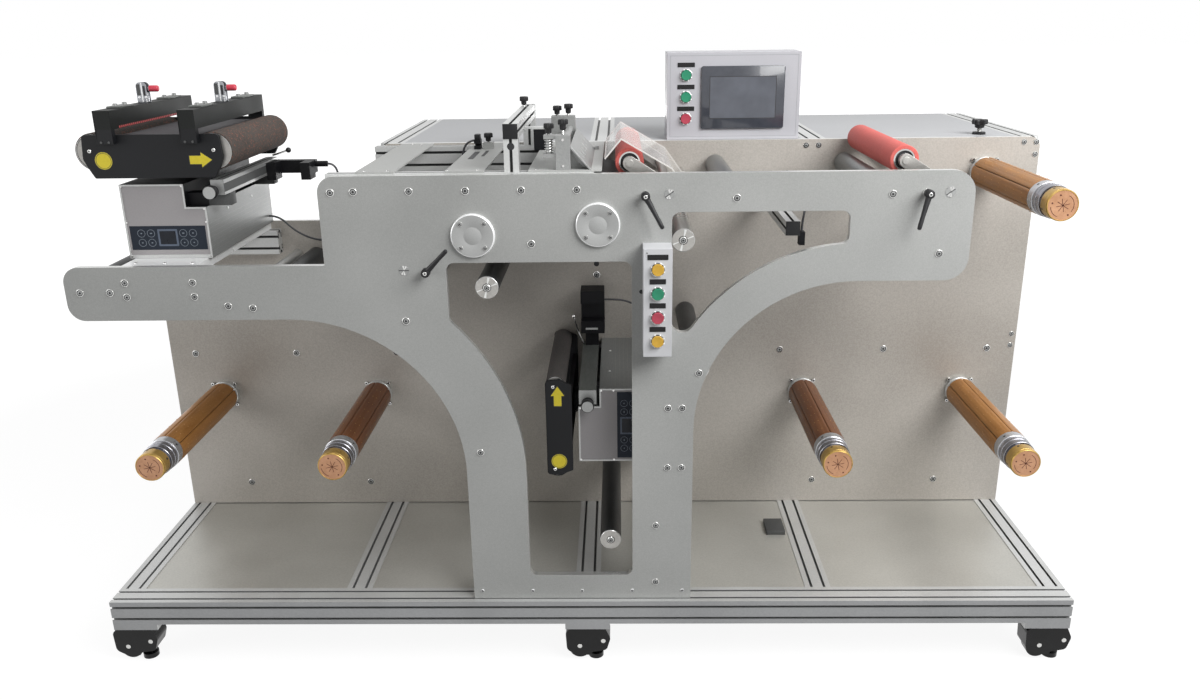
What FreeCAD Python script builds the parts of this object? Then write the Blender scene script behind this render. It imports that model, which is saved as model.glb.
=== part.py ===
import FreeCAD, Part
import math
import os

# Reel-to-reel label converting machine: two aluminium side plates on a slotted profile frame, with
# air shafts, idler rollers, nip rollers, two web guides, a cabinet at the back and two button panels.
# Lengths are in millimetres. X runs along the machine, Y from the operator to the back, Z upwards.
# The drawing frame has X at the middle of the base, Y at its front face and Z on the floor.

# Base frame
base_length = 2240.0
base_depth = 1110.0
left_end = -base_length / 2
right_end = base_length / 2
rail = 60.0
rail_top = 180.0
bay_count = 4
pad_size = 104.0
pad_thick = 15.0

# Slots of the profiles
slot_pitch = 30.0
slot_mouth = 6.0
slot_lip = 2.0
slot_cavity = 12.0
slot_depth = 8.0
small_rail = 30.0

# Sheet infills
sheet = 6.0
floor_drop = 2.0

# Rear cabinet
table_top = 1172.0
cabinet_left = -515.0
cabinet_low_top = table_top - 372.0
cabinet_bays = 3

# Side plates
plate_thick = 15.0
front_setback = 14.0
plate_gap = 474.0
arm_left = left_end + 28.0
arm_top = table_top - 191.0
arm_bottom = arm_top - 117.0
shoulder_x = -535.0
leg_left = -263.0
leg_right = 240.0
right_arm_bottom = table_top - 234.0
right_arm_end = right_end - 320.0
left_arch_radius = 362.0
right_arch_radius = 335.0
arm_corner = 35.0
plate_top = table_top - 6.0
end_corner = 48.0
back_corner = 26.0
back_step_x = -515.0

# Windows of the front plate
window_corner = 17.0
left_window_x = (-281.0, 106.0)
left_window_z = (rail_top + 62.0, table_top - 188.0)
left_band = 133.0
right_window_x = (189.0, right_end - 568.0)
right_window_top = table_top - 86.0
right_band = 81.0
right_nose = 24.0

# Fits
fit_gap = 0.05
run_gap = 0.3

# Air shafts
leaf_radius = 38.0
leaf_count = 6
leaf_slot = 1.6
core_radius = 31.0
shaft_front = 36.0
cap_radius = 33.5
cap_length = 32.0
nose_steps = ((6.0, 31.0), (15.0, 35.5), (2.0, 34.0), (13.0, 36.5), (2.0, 34.5), (24.0, 37.5))
nose_ring = sum(length for length, radius in nose_steps)
flange_radius = 37.0
flange_length = 23.0
journal_radius = 15.0
journal_tail = 40.0
lower_shaft_z = arm_bottom - 355.0
lower_shaft_x = (left_end + 132.0, -572.0, 567.0, right_end - 136.0)
upper_shaft_x = right_end - 132.0
upper_shaft_z = table_top - 84.0
flange_screw_circle = 42.0
flange_screw_radius = 4.5

# Idler rollers
idler_radius = 24.5
axle_radius = 8.0
idler_inset = 11.0
window_idler = (-200.0, table_top - 246.0, 1.0)
low_idler = (56.0, rail_top + 128.0, 31.0)
steel_idler = (214.0, table_top - 150.0, 11.0)
column_idler = (250.0, table_top - 435.0)
upper_idler = (320.0, table_top - 58.0)
right_nip_idler = (right_end - 482.0, table_top - 56.0)
bed_idler = (left_end + 424.0, arm_top - 91.0)
bed_end_idler = (left_end + 60.0, arm_top - 55.0)

# Driven drums
press_drum = (-221.0, table_top - 130.0)
press_drum_radius = 55.0
traction_drum = (37.0, table_top - 110.0)
traction_drum_radius = 75.0
drum_end_gap = 34.0
hub_cover_radius = 46.0
hub_cover_thick = 8.0
hub_screw_offset = 25.0

# Rubber nips
nip_pivots = ((183.0, table_top - 49.0), (right_end - 370.0, table_top - 50.0))
nip_reach = 80.0
nip_rise = 56.0
nip_radius = 30.0
nip_pivot_radius = 11.0
nip_arm_thick = 12.0
nip_arm_gap = 4.0
nip_front = 64.0
nip_span = 432.0
nip_pivot_boss = 17.0
nip_end_boss = 14.0

# Clamping levers
lever_offset = 49.0
lever_stand = 30.0
lever_length = 74.0
lever_lean = 15.0
left_lever_pivot = (-369.0, arm_top - 12.0)

# Web guides
guide_width = 180.0
guide_height = 160.0
guide_notch = 43.0
guide_notch_drop = 49.0
guide_wall = 3.0
guide_front_lap = 19.0
side_plate = 10.0
infeed_guide_x = left_end + 230.0
infeed_guide_y = 95.0
infeed_guide_length = 400.0
centre_guide_bottom_x = 144.0
centre_guide_z = table_top - 602.0
centre_guide_y = 125.0
foot_width = 160.0
foot_thick = 20.0
infeed_frame = dict(half=147.0, low=176.0, high=266.0, axis_u=127.0, axis_w=230.0, radius=39.0,
                    back=370.0)
centre_frame = dict(half=119.0, low=174.0, high=234.0, axis_u=102.0, axis_w=211.0, radius=23.0,
                    back=360.0)
carrier_half = 55.0
carrier_thick = 12.0
guide_boss_radius = 30.0
guide_axle = 7.0
clamp_beam_u = 87.0
clamp_beam_width = 35.0
clamp_beam_low = 278.0
clamp_beam_high = 316.0
clamp_block = 14.0
clamp_block_low = 248.0
toggle_y = 172.0
toggle_cheek = 3.0
toggle_half = 9.0
toggle_pivot_rise = 30.0
toggle_height = 44.0
toggle_grip = 20.0

# Panels and buttons
hmi_x = (201.0, 527.0)
hmi_height = 208.0
hmi_depth = 120.0
hmi_gap = 2.0
bezel_x = (284.0, 488.0)
bezel_z = (26.0, 176.0)
bezel_thick = 6.0
box_wall = 2.0
button_x = (128.5, 187.5)
button_z = (table_top - 377.0, table_top - 148.5)
button_depth = 60.0
button_pitch = 50.5
button_first = 42.0
button_radius = 12.6
button_ring_radius = 14.5
button_ring_stand = 3.0
button_cap_stand = 6.0
button_stem = 18.0
hmi_button_x = 247.0
hmi_button_first = 51.0
hmi_button_pitch = 52.0

# Casters
caster_wheel_radius = 25.0
caster_wheel_half = 15.0
caster_wheel_x = -20.0
caster_foot_x = 18.0
caster_foot_radius = 18.0
caster_foot_height = 12.0
caster_lift = 3.0
caster_head = 9.0
caster_half = 26.0
caster_outset = 20.0
caster_outline = ((-37.0, 96.0, 0), (-53.5, 78.0, 14.0), (-51.0, 30.0, 16.0), (-26.0, 16.0, 6.0),
                  (4.0, 16.0, 2.0), (10.0, 24.0, 2.0), (44.0, 30.0, 12.0), (53.5, 62.0, 16.0),
                  (38.0, 96.0, 0))

# Deck
bridge_thick = 4.0
bridges = ((-458.0, 80.0), (-274.0, 80.0), (-104.0, 150.0))
top_rail_x = (-520.0, 30.0)
support_rail_x = (left_end + 139.0, left_end + 334.0)
gantry_x = -152.0
gantry_rise = 67.0
gantry_knob_x = gantry_x + 8.0
cabinet_knob_x = right_end - 131.0
floor_block = 48.0
floor_block_gap = 7.0
window_bar = (right_end - 691.0, table_top - 146.0)

# Screws
screw_radius = 8.0
screw_stand = 1.5
socket_share = 0.5

front_y0 = front_setback
front_y1 = front_y0 + plate_thick
back_y0 = front_y1 + plate_gap
back_y1 = back_y0 + plate_thick
rail_low = rail_top - rail
pad_low = rail_low - pad_thick
button_reach = button_depth + button_ring_stand + button_cap_stand - front_setback
origin_y = (base_depth - button_reach) / 2

os.makedirs("parts", exist_ok=True)


def vec(x, y, z):
    return FreeCAD.Vector(x, y, z)


def box(x0, x1, y0, y1, z0, z1):
    return Part.makeBox(x1 - x0, y1 - y0, z1 - z0, vec(x0, y0, z0))


def rod_x(y, z, radius, x0, x1):
    return Part.makeCylinder(radius, x1 - x0, vec(x0, y, z), vec(1, 0, 0))


def rod_y(x, z, radius, y0, y1):
    return Part.makeCylinder(radius, y1 - y0, vec(x, y0, z), vec(0, 1, 0))


def rod_z(x, y, radius, z0, z1):
    return Part.makeCylinder(radius, z1 - z0, vec(x, y, z0), vec(0, 0, 1))


def tube_y(x, z, outer, bore, y0, y1):
    return rod_y(x, z, outer, y0, y1).cut(rod_y(x, z, bore, y0, y1))


def joined(solids):
    whole = solids[0].fuse(solids[1:])
    return whole.removeSplitter()


def save(name, solids):
    group = Part.makeCompound(solids)
    group.translate(vec(0, -origin_y, 0))
    group.exportStep("parts/" + name + ".step")


def corner_arc(before, here, after, radius):
    # The two tangent points and the middle point of the arc that rounds one corner.
    to_before = (before - here).normalize()
    to_after = (after - here).normalize()
    half = to_before.getAngle(to_after) / 2
    reach = radius / math.tan(half)
    bisector = (to_before + to_after).normalize()
    middle = here + bisector * (radius / math.sin(half) - radius)
    return here + to_before * reach, middle, here + to_after * reach


def rounded_wire(corners):
    # A closed wire through (point, radius) corners; a radius of zero leaves a corner sharp.
    edges = []
    last = None
    first = None
    count = len(corners)
    for i in range(count):
        here, radius = corners[i]
        if radius > 0:
            start, middle, end = corner_arc(corners[i - 1][0], here, corners[(i + 1) % count][0], radius)
        else:
            start, end = here, here
        if last is not None and (start - last).Length > 1e-6:
            edges.append(Part.makeLine(last, start))
        if radius > 0:
            edges.append(Part.Arc(start, middle, end).toShape())
        if first is None:
            first = start
        last = end
    if (first - last).Length > 1e-6:
        edges.append(Part.makeLine(last, first))
    return Part.Wire(edges)


def prism_y(outline, y0, y1):
    # A plate whose outline is a list of (x, z, corner radius).
    wire = rounded_wire([(vec(x, y0, z), radius) for x, z, radius in outline])
    return Part.Face(wire).extrude(vec(0, y1 - y0, 0))


def slotted_side(start, along, inward, length):
    # The points of one side of a profile section, with a T slot in each module.
    points = [start]
    count = max(1, round(length / slot_pitch))
    for i in range(count):
        centre = (i + 0.5) * length / count
        steps = [(-slot_mouth, 0), (-slot_mouth, slot_lip), (-slot_cavity, slot_lip)]
        steps += [(-slot_cavity, slot_depth), (slot_cavity, slot_depth), (slot_cavity, slot_lip)]
        steps += [(slot_mouth, slot_lip), (slot_mouth, 0)]
        for twice, depth in steps:
            points.append(start + along * (centre + twice / 2) + inward * depth)
    return points


def profile(axis, low, high):
    # A slotted profile that fills the box from low to high and runs along the named axis.
    size = high - low
    unit = {"x": vec(1, 0, 0), "y": vec(0, 1, 0), "z": vec(0, 0, 1)}
    run = unit.pop(axis)
    u, v = unit.values()
    width, height = size.dot(u), size.dot(v)
    points = slotted_side(low, u, v, width)
    points += slotted_side(low + u * width, v, u * -1, height)
    points += slotted_side(low + u * width + v * height, u * -1, v * -1, width)
    points += slotted_side(low + v * height, v * -1, u, height)
    face = Part.Face(Part.makePolygon(points + [points[0]]))
    return face.extrude(run * size.dot(run))


def beam(axis, x0, x1, y0, y1, z0, z1):
    return profile(axis, vec(x0, y0, z0), vec(x1, y1, z1))


def screw_y(x, z, face_y, radius=screw_radius, stand=screw_stand):
    # A socket screw head that stands out of a face towards the operator.
    head = rod_y(x, z, radius, face_y - stand, face_y)
    return head.cut(rod_y(x, z, radius * socket_share, face_y - stand, face_y - stand / 3))


def bay_lines(first, last, count):
    return [first + (last - first) * i / count for i in range(count + 1)]


cross_x = bay_lines(left_end + rail / 2, right_end - rail / 2, bay_count)
cabinet_x = bay_lines(cabinet_left + rail / 2, right_end - rail / 2, cabinet_bays)
pad_x = (left_end + pad_size / 2, 0.0, right_end - pad_size / 2)
caster_x = (pad_x[0] - caster_outset, pad_x[1], pad_x[2] + caster_outset)
pad_y = (pad_size / 2, base_depth - pad_size / 2)
back_rail_y = base_depth - rail
panel_low = table_top - sheet


def base_rails():
    rails = [beam("x", left_end, right_end, 0, rail, rail_low, rail_top)]
    rails.append(beam("x", left_end, right_end, back_rail_y, base_depth, rail_low, rail_top))
    for x in cross_x:
        rails.append(beam("y", x - rail / 2, x + rail / 2, rail, back_rail_y, rail_low, rail_top))
    for x in pad_x:
        for y in pad_y:
            half = pad_size / 2
            rails.append(box(x - half, x + half, y - half, y + half, pad_low, rail_low))
    return rails


def cabinet_rails():
    rails = []
    for x in cabinet_x:
        rails.append(beam("z", x - rail / 2, x + rail / 2, back_rail_y, base_depth,
                          rail_top, table_top - rail))
        rails.append(beam("y", x - rail / 2, x + rail / 2, back_y1, base_depth,
                          table_top - rail, table_top))
    for left, right in zip(cabinet_x, cabinet_x[1:]):
        rails.append(beam("x", left + rail / 2, right - rail / 2, back_rail_y, base_depth,
                          panel_low - rail, panel_low))
    low = cabinet_low_top - rail
    left = left_end
    rails.append(beam("z", left, left + rail, back_rail_y, base_depth, rail_top, low))
    rails.append(beam("y", left, left + rail, back_y1, base_depth, low, cabinet_low_top))
    rails.append(beam("x", left + rail, cabinet_left, back_rail_y, base_depth,
                      low - sheet, cabinet_low_top - sheet))
    return rails


def floor_panels():
    panels = []
    top = rail_top - floor_drop
    for left, right in zip(cross_x, cross_x[1:]):
        panels.append(box(left + rail / 2, right - rail / 2, rail, back_rail_y, top - sheet, top))
    return panels


def cabinet_panels():
    panels = []
    inner_front = back_y1
    for left, right in zip(cabinet_x, cabinet_x[1:]):
        x0, x1 = left + rail / 2, right - rail / 2
        panels.append(box(x0, x1, inner_front, base_depth, panel_low, table_top))
        panels.append(box(x0, x1, base_depth - 2 * sheet, base_depth - sheet,
                          rail_top, panel_low - rail))
    left = left_end
    x0, x1 = left + rail, cabinet_left
    panels.append(box(x0, x1, inner_front, base_depth, cabinet_low_top - sheet, cabinet_low_top))
    panels.append(box(x0, x1, base_depth - 2 * sheet, base_depth - sheet,
                      rail_top, cabinet_low_top - rail - sheet))
    panels.append(box(left + sheet, left + 2 * sheet, inner_front, back_rail_y,
                      rail_top, cabinet_low_top - rail))
    panels.append(box(cabinet_left + sheet, cabinet_left + 2 * sheet, inner_front, back_rail_y,
                      cabinet_low_top, table_top - rail))
    right = right_end
    panels.append(box(right - 2 * sheet, right - sheet, inner_front, back_rail_y,
                      rail_top, table_top - rail))
    return panels


def left_window():
    # Straight sides and bottom, with the upper left side following the big arch.
    x0, x1 = left_window_x
    z0, z1 = left_window_z
    centre_x = leg_left - left_arch_radius
    centre_z = arm_bottom - left_arch_radius
    radius = left_arch_radius + left_band
    opening = box(x0, x1, front_y0 - 1, front_y1 + 1, z0, z1)
    opening = opening.cut(rod_y(centre_x, centre_z, radius, front_y0 - 2, front_y1 + 2))
    edge_x = centre_x + radius
    opening = opening.cut(box(x0 - 1, edge_x, front_y0 - 2, front_y1 + 2, z0 - 1, centre_z))
    return rounded_opening(opening, window_corner)


def right_window():
    x0, x1 = right_window_x
    centre_x = leg_right + right_arch_radius
    centre_z = right_arm_bottom - right_arch_radius
    radius = right_arch_radius + right_band
    opening = box(x0, x1, front_y0 - 1, front_y1 + 1, centre_z, right_window_top)
    opening = opening.cut(rod_y(centre_x, centre_z, radius, front_y0 - 2, front_y1 + 2))
    return rounded_opening(opening, window_corner, right_nose)


def is_corner(edge):
    ends = [vertex.Point for vertex in edge.Vertexes]
    return len(ends) == 2 and abs((ends[1] - ends[0]).y) > plate_thick


def rounded_opening(opening, radius, lowest_radius=None):
    corners = sorted([e for e in opening.Edges if is_corner(e)], key=lambda e: e.CenterOfMass.z)
    if lowest_radius is None:
        return opening.makeFillet(radius, corners)
    rounded = opening.makeFillet(radius, corners[1:])
    lowest = min([e for e in rounded.Edges if is_corner(e)], key=lambda e: e.CenterOfMass.z)
    return rounded.makeFillet(lowest_radius, [lowest])


def front_plate():
    outline = [(arm_left, arm_bottom, arm_corner), (leg_left, arm_bottom, left_arch_radius)]
    outline += [(leg_left, rail_top, 0), (leg_right, rail_top, 0)]
    outline += [(leg_right, right_arm_bottom, right_arch_radius)]
    outline += [(right_arm_end, right_arm_bottom, end_corner), (right_arm_end, plate_top, end_corner)]
    outline += [(shoulder_x, plate_top, arm_corner), (shoulder_x, arm_top, 0)]
    outline += [(arm_left, arm_top, arm_corner)]
    plate = prism_y(outline, front_y0, front_y1)
    holes = [left_window(), right_window()]
    for x, z in (press_drum, traction_drum):
        holes.append(rod_y(x, z, journal_radius + fit_gap, front_y0 - 1, front_y1 + 1))
    for x, z in nip_pivots:
        holes.append(rod_y(x, z, nip_pivot_radius + fit_gap, front_y0 - 1, front_y1 + 1))
    return plate.cut(holes)


def shaft_axes():
    return [(x, lower_shaft_z) for x in lower_shaft_x] + [(upper_shaft_x, upper_shaft_z)]


def back_plate():
    outline = [(left_end, rail_top, 0), (right_end, rail_top, 0)]
    outline += [(right_end, table_top, back_corner), (back_step_x, table_top, back_corner)]
    outline += [(back_step_x, arm_top, 0), (left_end, arm_top, back_corner)]
    plate = prism_y(outline, back_y0, back_y1)
    holes = []
    for x, z in shaft_axes() + [press_drum, traction_drum]:
        holes.append(rod_y(x, z, journal_radius + fit_gap, back_y0 - 1, back_y1 + 1))
    for x, z in nip_pivots:
        holes.append(rod_y(x, z, nip_pivot_radius + fit_gap, back_y0 - 1, back_y1 + 1))
    return plate.cut(holes)


cantilever_idlers = (window_idler, low_idler, steel_idler)
bridged_idlers = (column_idler, upper_idler, right_nip_idler, bed_idler, bed_end_idler)
tie_radius = 12.5
tie_places = ((left_end + 124.0, arm_top - 55.0), (left_end + 372.0, arm_top - 86.0),
              (-373.0, arm_top - 122.0), (159.0, rail_top + 190.0), (159.0, rail_top + 44.0),
              (right_end - 382.0, table_top - 177.0), (-101.0, table_top - 149.0))
cover_hinge = (236.0, table_top - 68.0)
hinge_radius = 4.0
bracket_z = (table_top - 658.0, table_top - 516.0)
top_screw_x = (-461.0, -347.0, -232.0, -118.0, -5.0)
top_screw_z = table_top - 38.0
arm_screw_x = (left_end + 159.0, left_end + 303.0)
arm_screw_drop = (34.0, 65.0)
lone_screws = ((-508.0, table_top - 39.0), (right_end - 486.0, table_top - 53.0),
               (-230.0, table_top - 619.0))
foot_screw_x = (-243.0, -126.0, -11.0, 105.0, 221.0)
foot_screw_rise = 21.0
foot_screw_radius = 3.5
back_row_x = (left_end + 66.0, left_end + 337.0, -515.0, 503.0, right_end - 344.0, right_end - 73.0)
back_row_z = table_top - 548.0
back_low_x = (left_end + 170.0, -616.0, 608.0, right_end - 178.0)
back_low_z = rail_top + 64.0
back_pair = ((22.0, table_top - 311.0), (22.0, table_top - 340.0))
back_small_places = ((right_end - 13.0, table_top - 509.0), (right_end - 13.0, table_top - 540.0),
                     (right_end - 40.0, table_top - 14.0), (545.0, table_top - 15.0),
                     (576.0, table_top - 15.0), (right_end - 11.0, table_top - 42.0))
small_screw_radius = 5.0


def idler_axles():
    axles = []
    for x, z, inset in cantilever_idlers:
        front = front_y1 + inset
        axles.append(rod_y(x, z, axle_radius, front - 1, back_y0))
        axles.append(screw_y(x, z, front - 1, screw_radius - 1, screw_stand))
    for x, z in bridged_idlers:
        axles.append(rod_y(x, z, axle_radius, front_y1, back_y0))
    return axles


def front_screws():
    places = list(lone_screws)
    places += [(x, top_screw_z) for x in top_screw_x]
    places += [(x, arm_top - drop) for x in arm_screw_x for drop in arm_screw_drop]
    places += [(x, z) for x in (184.0, 215.0) for z in bracket_z]
    return places


def back_screws():
    places = [(x, back_row_z) for x in back_row_x] + [(x, back_low_z) for x in back_low_x]
    return places + list(back_pair)


def fasteners():
    pieces = idler_axles()
    pieces.append(rod_y(cover_hinge[0], cover_hinge[1], hinge_radius, front_y1, back_y0))
    for x, z in tie_places:
        pieces.append(rod_y(x, z, tie_radius, front_y1, back_y0))
    bolts = list(tie_places) + [place for place in bridged_idlers if place != right_nip_idler]
    for x, z in bolts + front_screws():
        pieces.append(screw_y(x, z, front_y0))
    for x in foot_screw_x:
        pieces.append(screw_y(x, rail_top + foot_screw_rise, front_y0, foot_screw_radius, screw_stand))
    for x, z in back_screws():
        pieces.append(screw_y(x, z, back_y0))
    for x, z in back_small_places:
        pieces.append(screw_y(x, z, back_y0, small_screw_radius, screw_stand))
    for x, z in nip_pivots:
        pieces.append(lever_post(x - lever_offset, z))
    pieces.append(lever_post(left_lever_pivot[0] + lever_offset, left_lever_pivot[1]))
    pieces.append(slotted_end(left_lever_pivot[0], left_lever_pivot[1], front_y0 - 0.6, front_y0))
    return pieces


def lever_post(x, z):
    return rod_y(x, z, lever_post_radius, front_y0 - lever_stand + lever_hub, front_y0)


def slotted_end(x, z, y0, y1):
    end = rod_y(x, z, nip_pivot_radius, y0, y1)
    return end.cut(box(x - nip_pivot_radius, x + nip_pivot_radius, y0 - 1, y0 + 0.4, z - 1, z + 1))


lever_post_radius = 7.0
lever_hub = 20.0
lever_hub_radius = 9.0


def clamp_lever(x, z, tip_angle):
    # A hub with a tapered handle that leans away from the plate.
    y1 = front_y0 - lever_stand + lever_hub
    y0 = y1 - lever_hub
    hub = rod_y(0, 0, lever_hub_radius, y0, y1)
    handle = Part.makeCone(6.5, 4.5, lever_length - 5, vec(5, y0 + 8, 0), vec(1, 0, 0))
    handle.rotate(vec(0, y0 + 8, 0), vec(0, 0, -1), lever_lean)
    lever = joined([hub, handle])
    lever.rotate(vec(0, 0, 0), vec(0, -1, 0), tip_angle)
    lever.translate(vec(x, 0, z))
    screw = rod_y(x, z, 4.0, y0 - 1.5, y0)
    return [lever, screw]


def shaft_flanges():
    pieces = []
    for x, z in shaft_axes():
        pieces.append(tube_y(x, z, flange_radius, journal_radius + fit_gap,
                             back_y0 - flange_length, back_y0))
        for i in range(4):
            angle = math.radians(45 + 90 * i)
            sx = x + flange_screw_circle * math.cos(angle)
            sz = z + flange_screw_circle * math.sin(angle)
            pieces.append(screw_y(sx, sz, back_y0, flange_screw_radius, 8))
    for x, z in (press_drum, traction_drum):
        pieces += hub_cover(x, z)
    return pieces


def hub_cover(x, z):
    cover = rod_y(x, z, hub_cover_radius, front_y0 - hub_cover_thick, front_y0)
    rim = [e for e in cover.Edges if abs(e.CenterOfMass.y - (front_y0 - hub_cover_thick)) < 0.1]
    cover = cover.makeChamfer(1.2, rim)
    pieces = [cover]
    for sx in (-hub_screw_offset, hub_screw_offset):
        for sz in (-hub_screw_offset, hub_screw_offset):
            pieces.append(screw_y(x + sx, z + sz, front_y0 - hub_cover_thick, small_screw_radius, 1.5))
    return pieces


shaft_rear = back_y0 - flange_length - run_gap


def air_shaft(x, z):
    # A core with a journal, expanding leaves around it, a stepped ring and a cap at the free end.
    leaf_front = shaft_front + cap_length + nose_ring
    core = joined([rod_y(x, z, core_radius, leaf_front, shaft_rear),
                   rod_y(x, z, journal_radius, shaft_rear, back_y1 + journal_tail)])
    leaves = tube_y(x, z, leaf_radius, core_radius, leaf_front, shaft_rear)
    gaps = []
    for i in range(leaf_count):
        gap = box(x, x + leaf_radius + 1, leaf_front - 1, shaft_rear + 1, z - leaf_slot / 2, z + leaf_slot / 2)
        gap.rotate(vec(x, 0, z), vec(0, 1, 0), 360.0 * i / leaf_count + 30)
        gaps.append(gap)
    split = leaves.cut(gaps)
    front = shaft_front + cap_length
    steps = []
    y = front
    for length, radius in nose_steps:
        steps.append(rod_y(x, z, radius, y, y + length))
        y += length
    ring = joined(steps)
    cap = rod_y(x, z, cap_radius, shaft_front, front)
    lip = [e for e in cap.Edges if abs(e.CenterOfMass.y - shaft_front) < 0.1]
    cap = cap.makeFillet(2.0, lip)
    cap = cap.cut(rod_y(x, z, cap_radius - 4, shaft_front - 1, shaft_front + 1))
    return [core, ring, cap] + split.Solids


def rims(shape, radius):
    # The circular edges of one radius.
    round_edges = [e for e in shape.Edges if hasattr(e.Curve, "Radius")]
    return [e for e in round_edges if abs(e.Curve.Radius - radius) < 1e-6]


def idler(x, z, y0, y1, radius=idler_radius):
    roller = tube_y(x, z, radius, axle_radius + fit_gap, y0, y1)
    return [roller.makeChamfer(1.0, rims(roller, radius))]


def drum(x, z, radius):
    body = rod_y(x, z, radius, front_y1 + drum_end_gap, back_y0 - drum_end_gap)
    journal = rod_y(x, z, journal_radius, front_y0 + 1, back_y1 + journal_tail)
    return [joined([body, journal])]


def link(x0, z0, r0, x1, z1, r1, y0, y1):
    # A flat arm between two bosses.
    run = vec(x1 - x0, 0, z1 - z0)
    side = run.cross(vec(0, 1, 0)).normalize()
    corners = [vec(x0, y0, z0) + side * r0, vec(x1, y0, z1) + side * r1]
    corners += [vec(x1, y0, z1) - side * r1, vec(x0, y0, z0) - side * r0]
    web = Part.Face(Part.makePolygon(corners + [corners[0]])).extrude(vec(0, y1 - y0, 0))
    return joined([web, rod_y(x0, z0, r0, y0, y1), rod_y(x1, z1, r1, y0, y1)])


def nip_axis(index):
    px, pz = nip_pivots[index]
    return px - nip_reach, pz + nip_rise


def nip_arm(index):
    px, pz = nip_pivots[index]
    rx, rz = nip_axis(index)
    nip_back = nip_front + nip_span
    shaft = rod_y(px, pz, nip_pivot_radius, front_y0 - 0.6, back_y1)
    slot = box(px - nip_pivot_radius, px + nip_pivot_radius, front_y0 - 1, front_y0 + 1, pz - 1, pz + 1)
    slot.rotate(vec(px, 0, pz), vec(0, 1, 0), 35)
    pieces = [shaft.cut(slot), rod_y(rx, rz, axle_radius, nip_front - 2, nip_back + 2)]
    for y in (nip_front, nip_back - nip_arm_thick):
        pieces.append(link(px, pz, nip_pivot_boss, rx, rz, nip_end_boss, y, y + nip_arm_thick))
    return [joined(pieces)]


def nip_roller(index):
    x, z = nip_axis(index)
    gap = nip_arm_thick + nip_arm_gap
    return idler(x, z, nip_front + gap, nip_front + nip_span - gap, nip_radius)


cover_profile = ((52.0, table_top + 17.0), (86.0, table_top + 57.0), (190.0, table_top - 4.0))
cover_y = (60.0, 400.0)
cover_thick = 3.0
knuckle_radius = 8.0


def nip_cover():
    # A folded clear sheet over the left nip, hung on a rod at its right edge.
    points = [vec(x, cover_y[0], z) for x, z in cover_profile]
    points.append(vec(cover_hinge[0], cover_y[0], cover_hinge[1]))
    solids = []
    for a, b in zip(points, points[1:]):
        side = (b - a).cross(vec(0, 1, 0)).normalize() * (cover_thick / 2)
        strip = Part.makePolygon([a + side, b + side, b - side, a - side, a + side])
        solids.append(Part.Face(strip).extrude(vec(0, cover_y[1] - cover_y[0], 0)))
    for x, z in cover_profile[1:]:
        solids.append(rod_y(x, z, cover_thick / 2, cover_y[0], cover_y[1]))
    solids.append(rod_y(cover_hinge[0], cover_hinge[1], knuckle_radius, cover_y[0], cover_y[1]))
    sheet_body = joined(solids)
    bore = rod_y(cover_hinge[0], cover_hinge[1], hinge_radius + fit_gap, cover_y[0] - 1, cover_y[1] + 1)
    return [sheet_body.cut(bore)]


def guide_box(length):
    # Drawn with its width along X about zero, its foot at Z zero and its front at Y zero.
    half = guide_width / 2
    shape = box(-half, half, 0, length, 0, guide_height)
    shape = shape.cut(box(half - guide_notch, half + 1, -1, length + 1,
                          guide_height - guide_notch_drop, guide_height + 1))
    inner = box(-half + guide_wall, half - guide_wall, guide_wall, length - guide_wall,
                guide_wall, guide_height - guide_notch_drop - guide_wall)
    return shape.cut(inner)


def side_outline(size):
    # The clipped outline of a web guide's side plate.
    half, low, high = size["half"], size["low"], size["high"]
    clip = (high - low) * 0.45
    outline = [(-half + clip / 2, low, 4), (half - clip / 2, low, 4), (half - 8, low + clip * 0.55, 4)]
    outline += [(half, low + clip, 4), (half - 4, high, 8), (-half + 4, high, 8), (-half, low + clip, 4)]
    outline += [(-half + 8, low + clip * 0.55, 4)]
    return outline


def guide_frame(size):
    front = -guide_front_lap
    back = size["back"]
    inner0, inner1 = front + side_plate, back - side_plate
    outline = side_outline(size)
    pieces = [prism_y(outline, front, inner0), prism_y(outline, inner1, back)]
    low = size["low"] + 2
    pieces.append(box(-carrier_half, carrier_half, inner0, inner1, low, low + carrier_thick))
    middle = (front + back) / 2
    pieces.append(rod_z(0, middle, guide_boss_radius, guide_height + run_gap, low))
    for u in (-size["axis_u"], size["axis_u"]):
        pieces.append(rod_y(u, size["axis_w"], guide_axle, inner0, inner1))
    return pieces


def guide_roller(size, sign):
    u = sign * size["axis_u"]
    y0 = -guide_front_lap + side_plate + run_gap
    y1 = size["back"] - side_plate - run_gap
    return [tube_y(u, size["axis_w"], size["radius"], guide_axle + fit_gap, y0, y1)]


def clamp_beams(size):
    pieces = []
    front = -guide_front_lap - clamp_block
    back = size["back"] + clamp_block
    half = clamp_beam_width / 2
    for u in (-clamp_beam_u, clamp_beam_u):
        bar = box(u - half, u + half, front, back, clamp_beam_low, clamp_beam_high)
        leg = box(u - half, u + half, front, -guide_front_lap, clamp_block_low, clamp_beam_low)
        tail = box(u - half, u + half, size["back"], back, clamp_block_low, clamp_beam_low)
        pieces += [bar, leg, tail]
        pieces += toggle_cheeks(u)
    table = size["high"] - 6
    inner = size["axis_u"] - size["radius"] - 4
    pieces.append(box(-inner, inner, -guide_front_lap + side_plate, size["back"] - side_plate,
                      table - 5, table))
    return pieces


def toggle_cheeks(u):
    low, high = clamp_beam_high, clamp_beam_high + toggle_height
    outline = [(u - 12, low, 0), (u + 12, low, 0), (u + 12, high, 9), (u - 12, high, 9)]
    near = toggle_y - toggle_half
    far = toggle_y + toggle_half
    return [prism_y(outline, near, near + toggle_cheek), prism_y(outline, far - toggle_cheek, far)]


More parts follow.
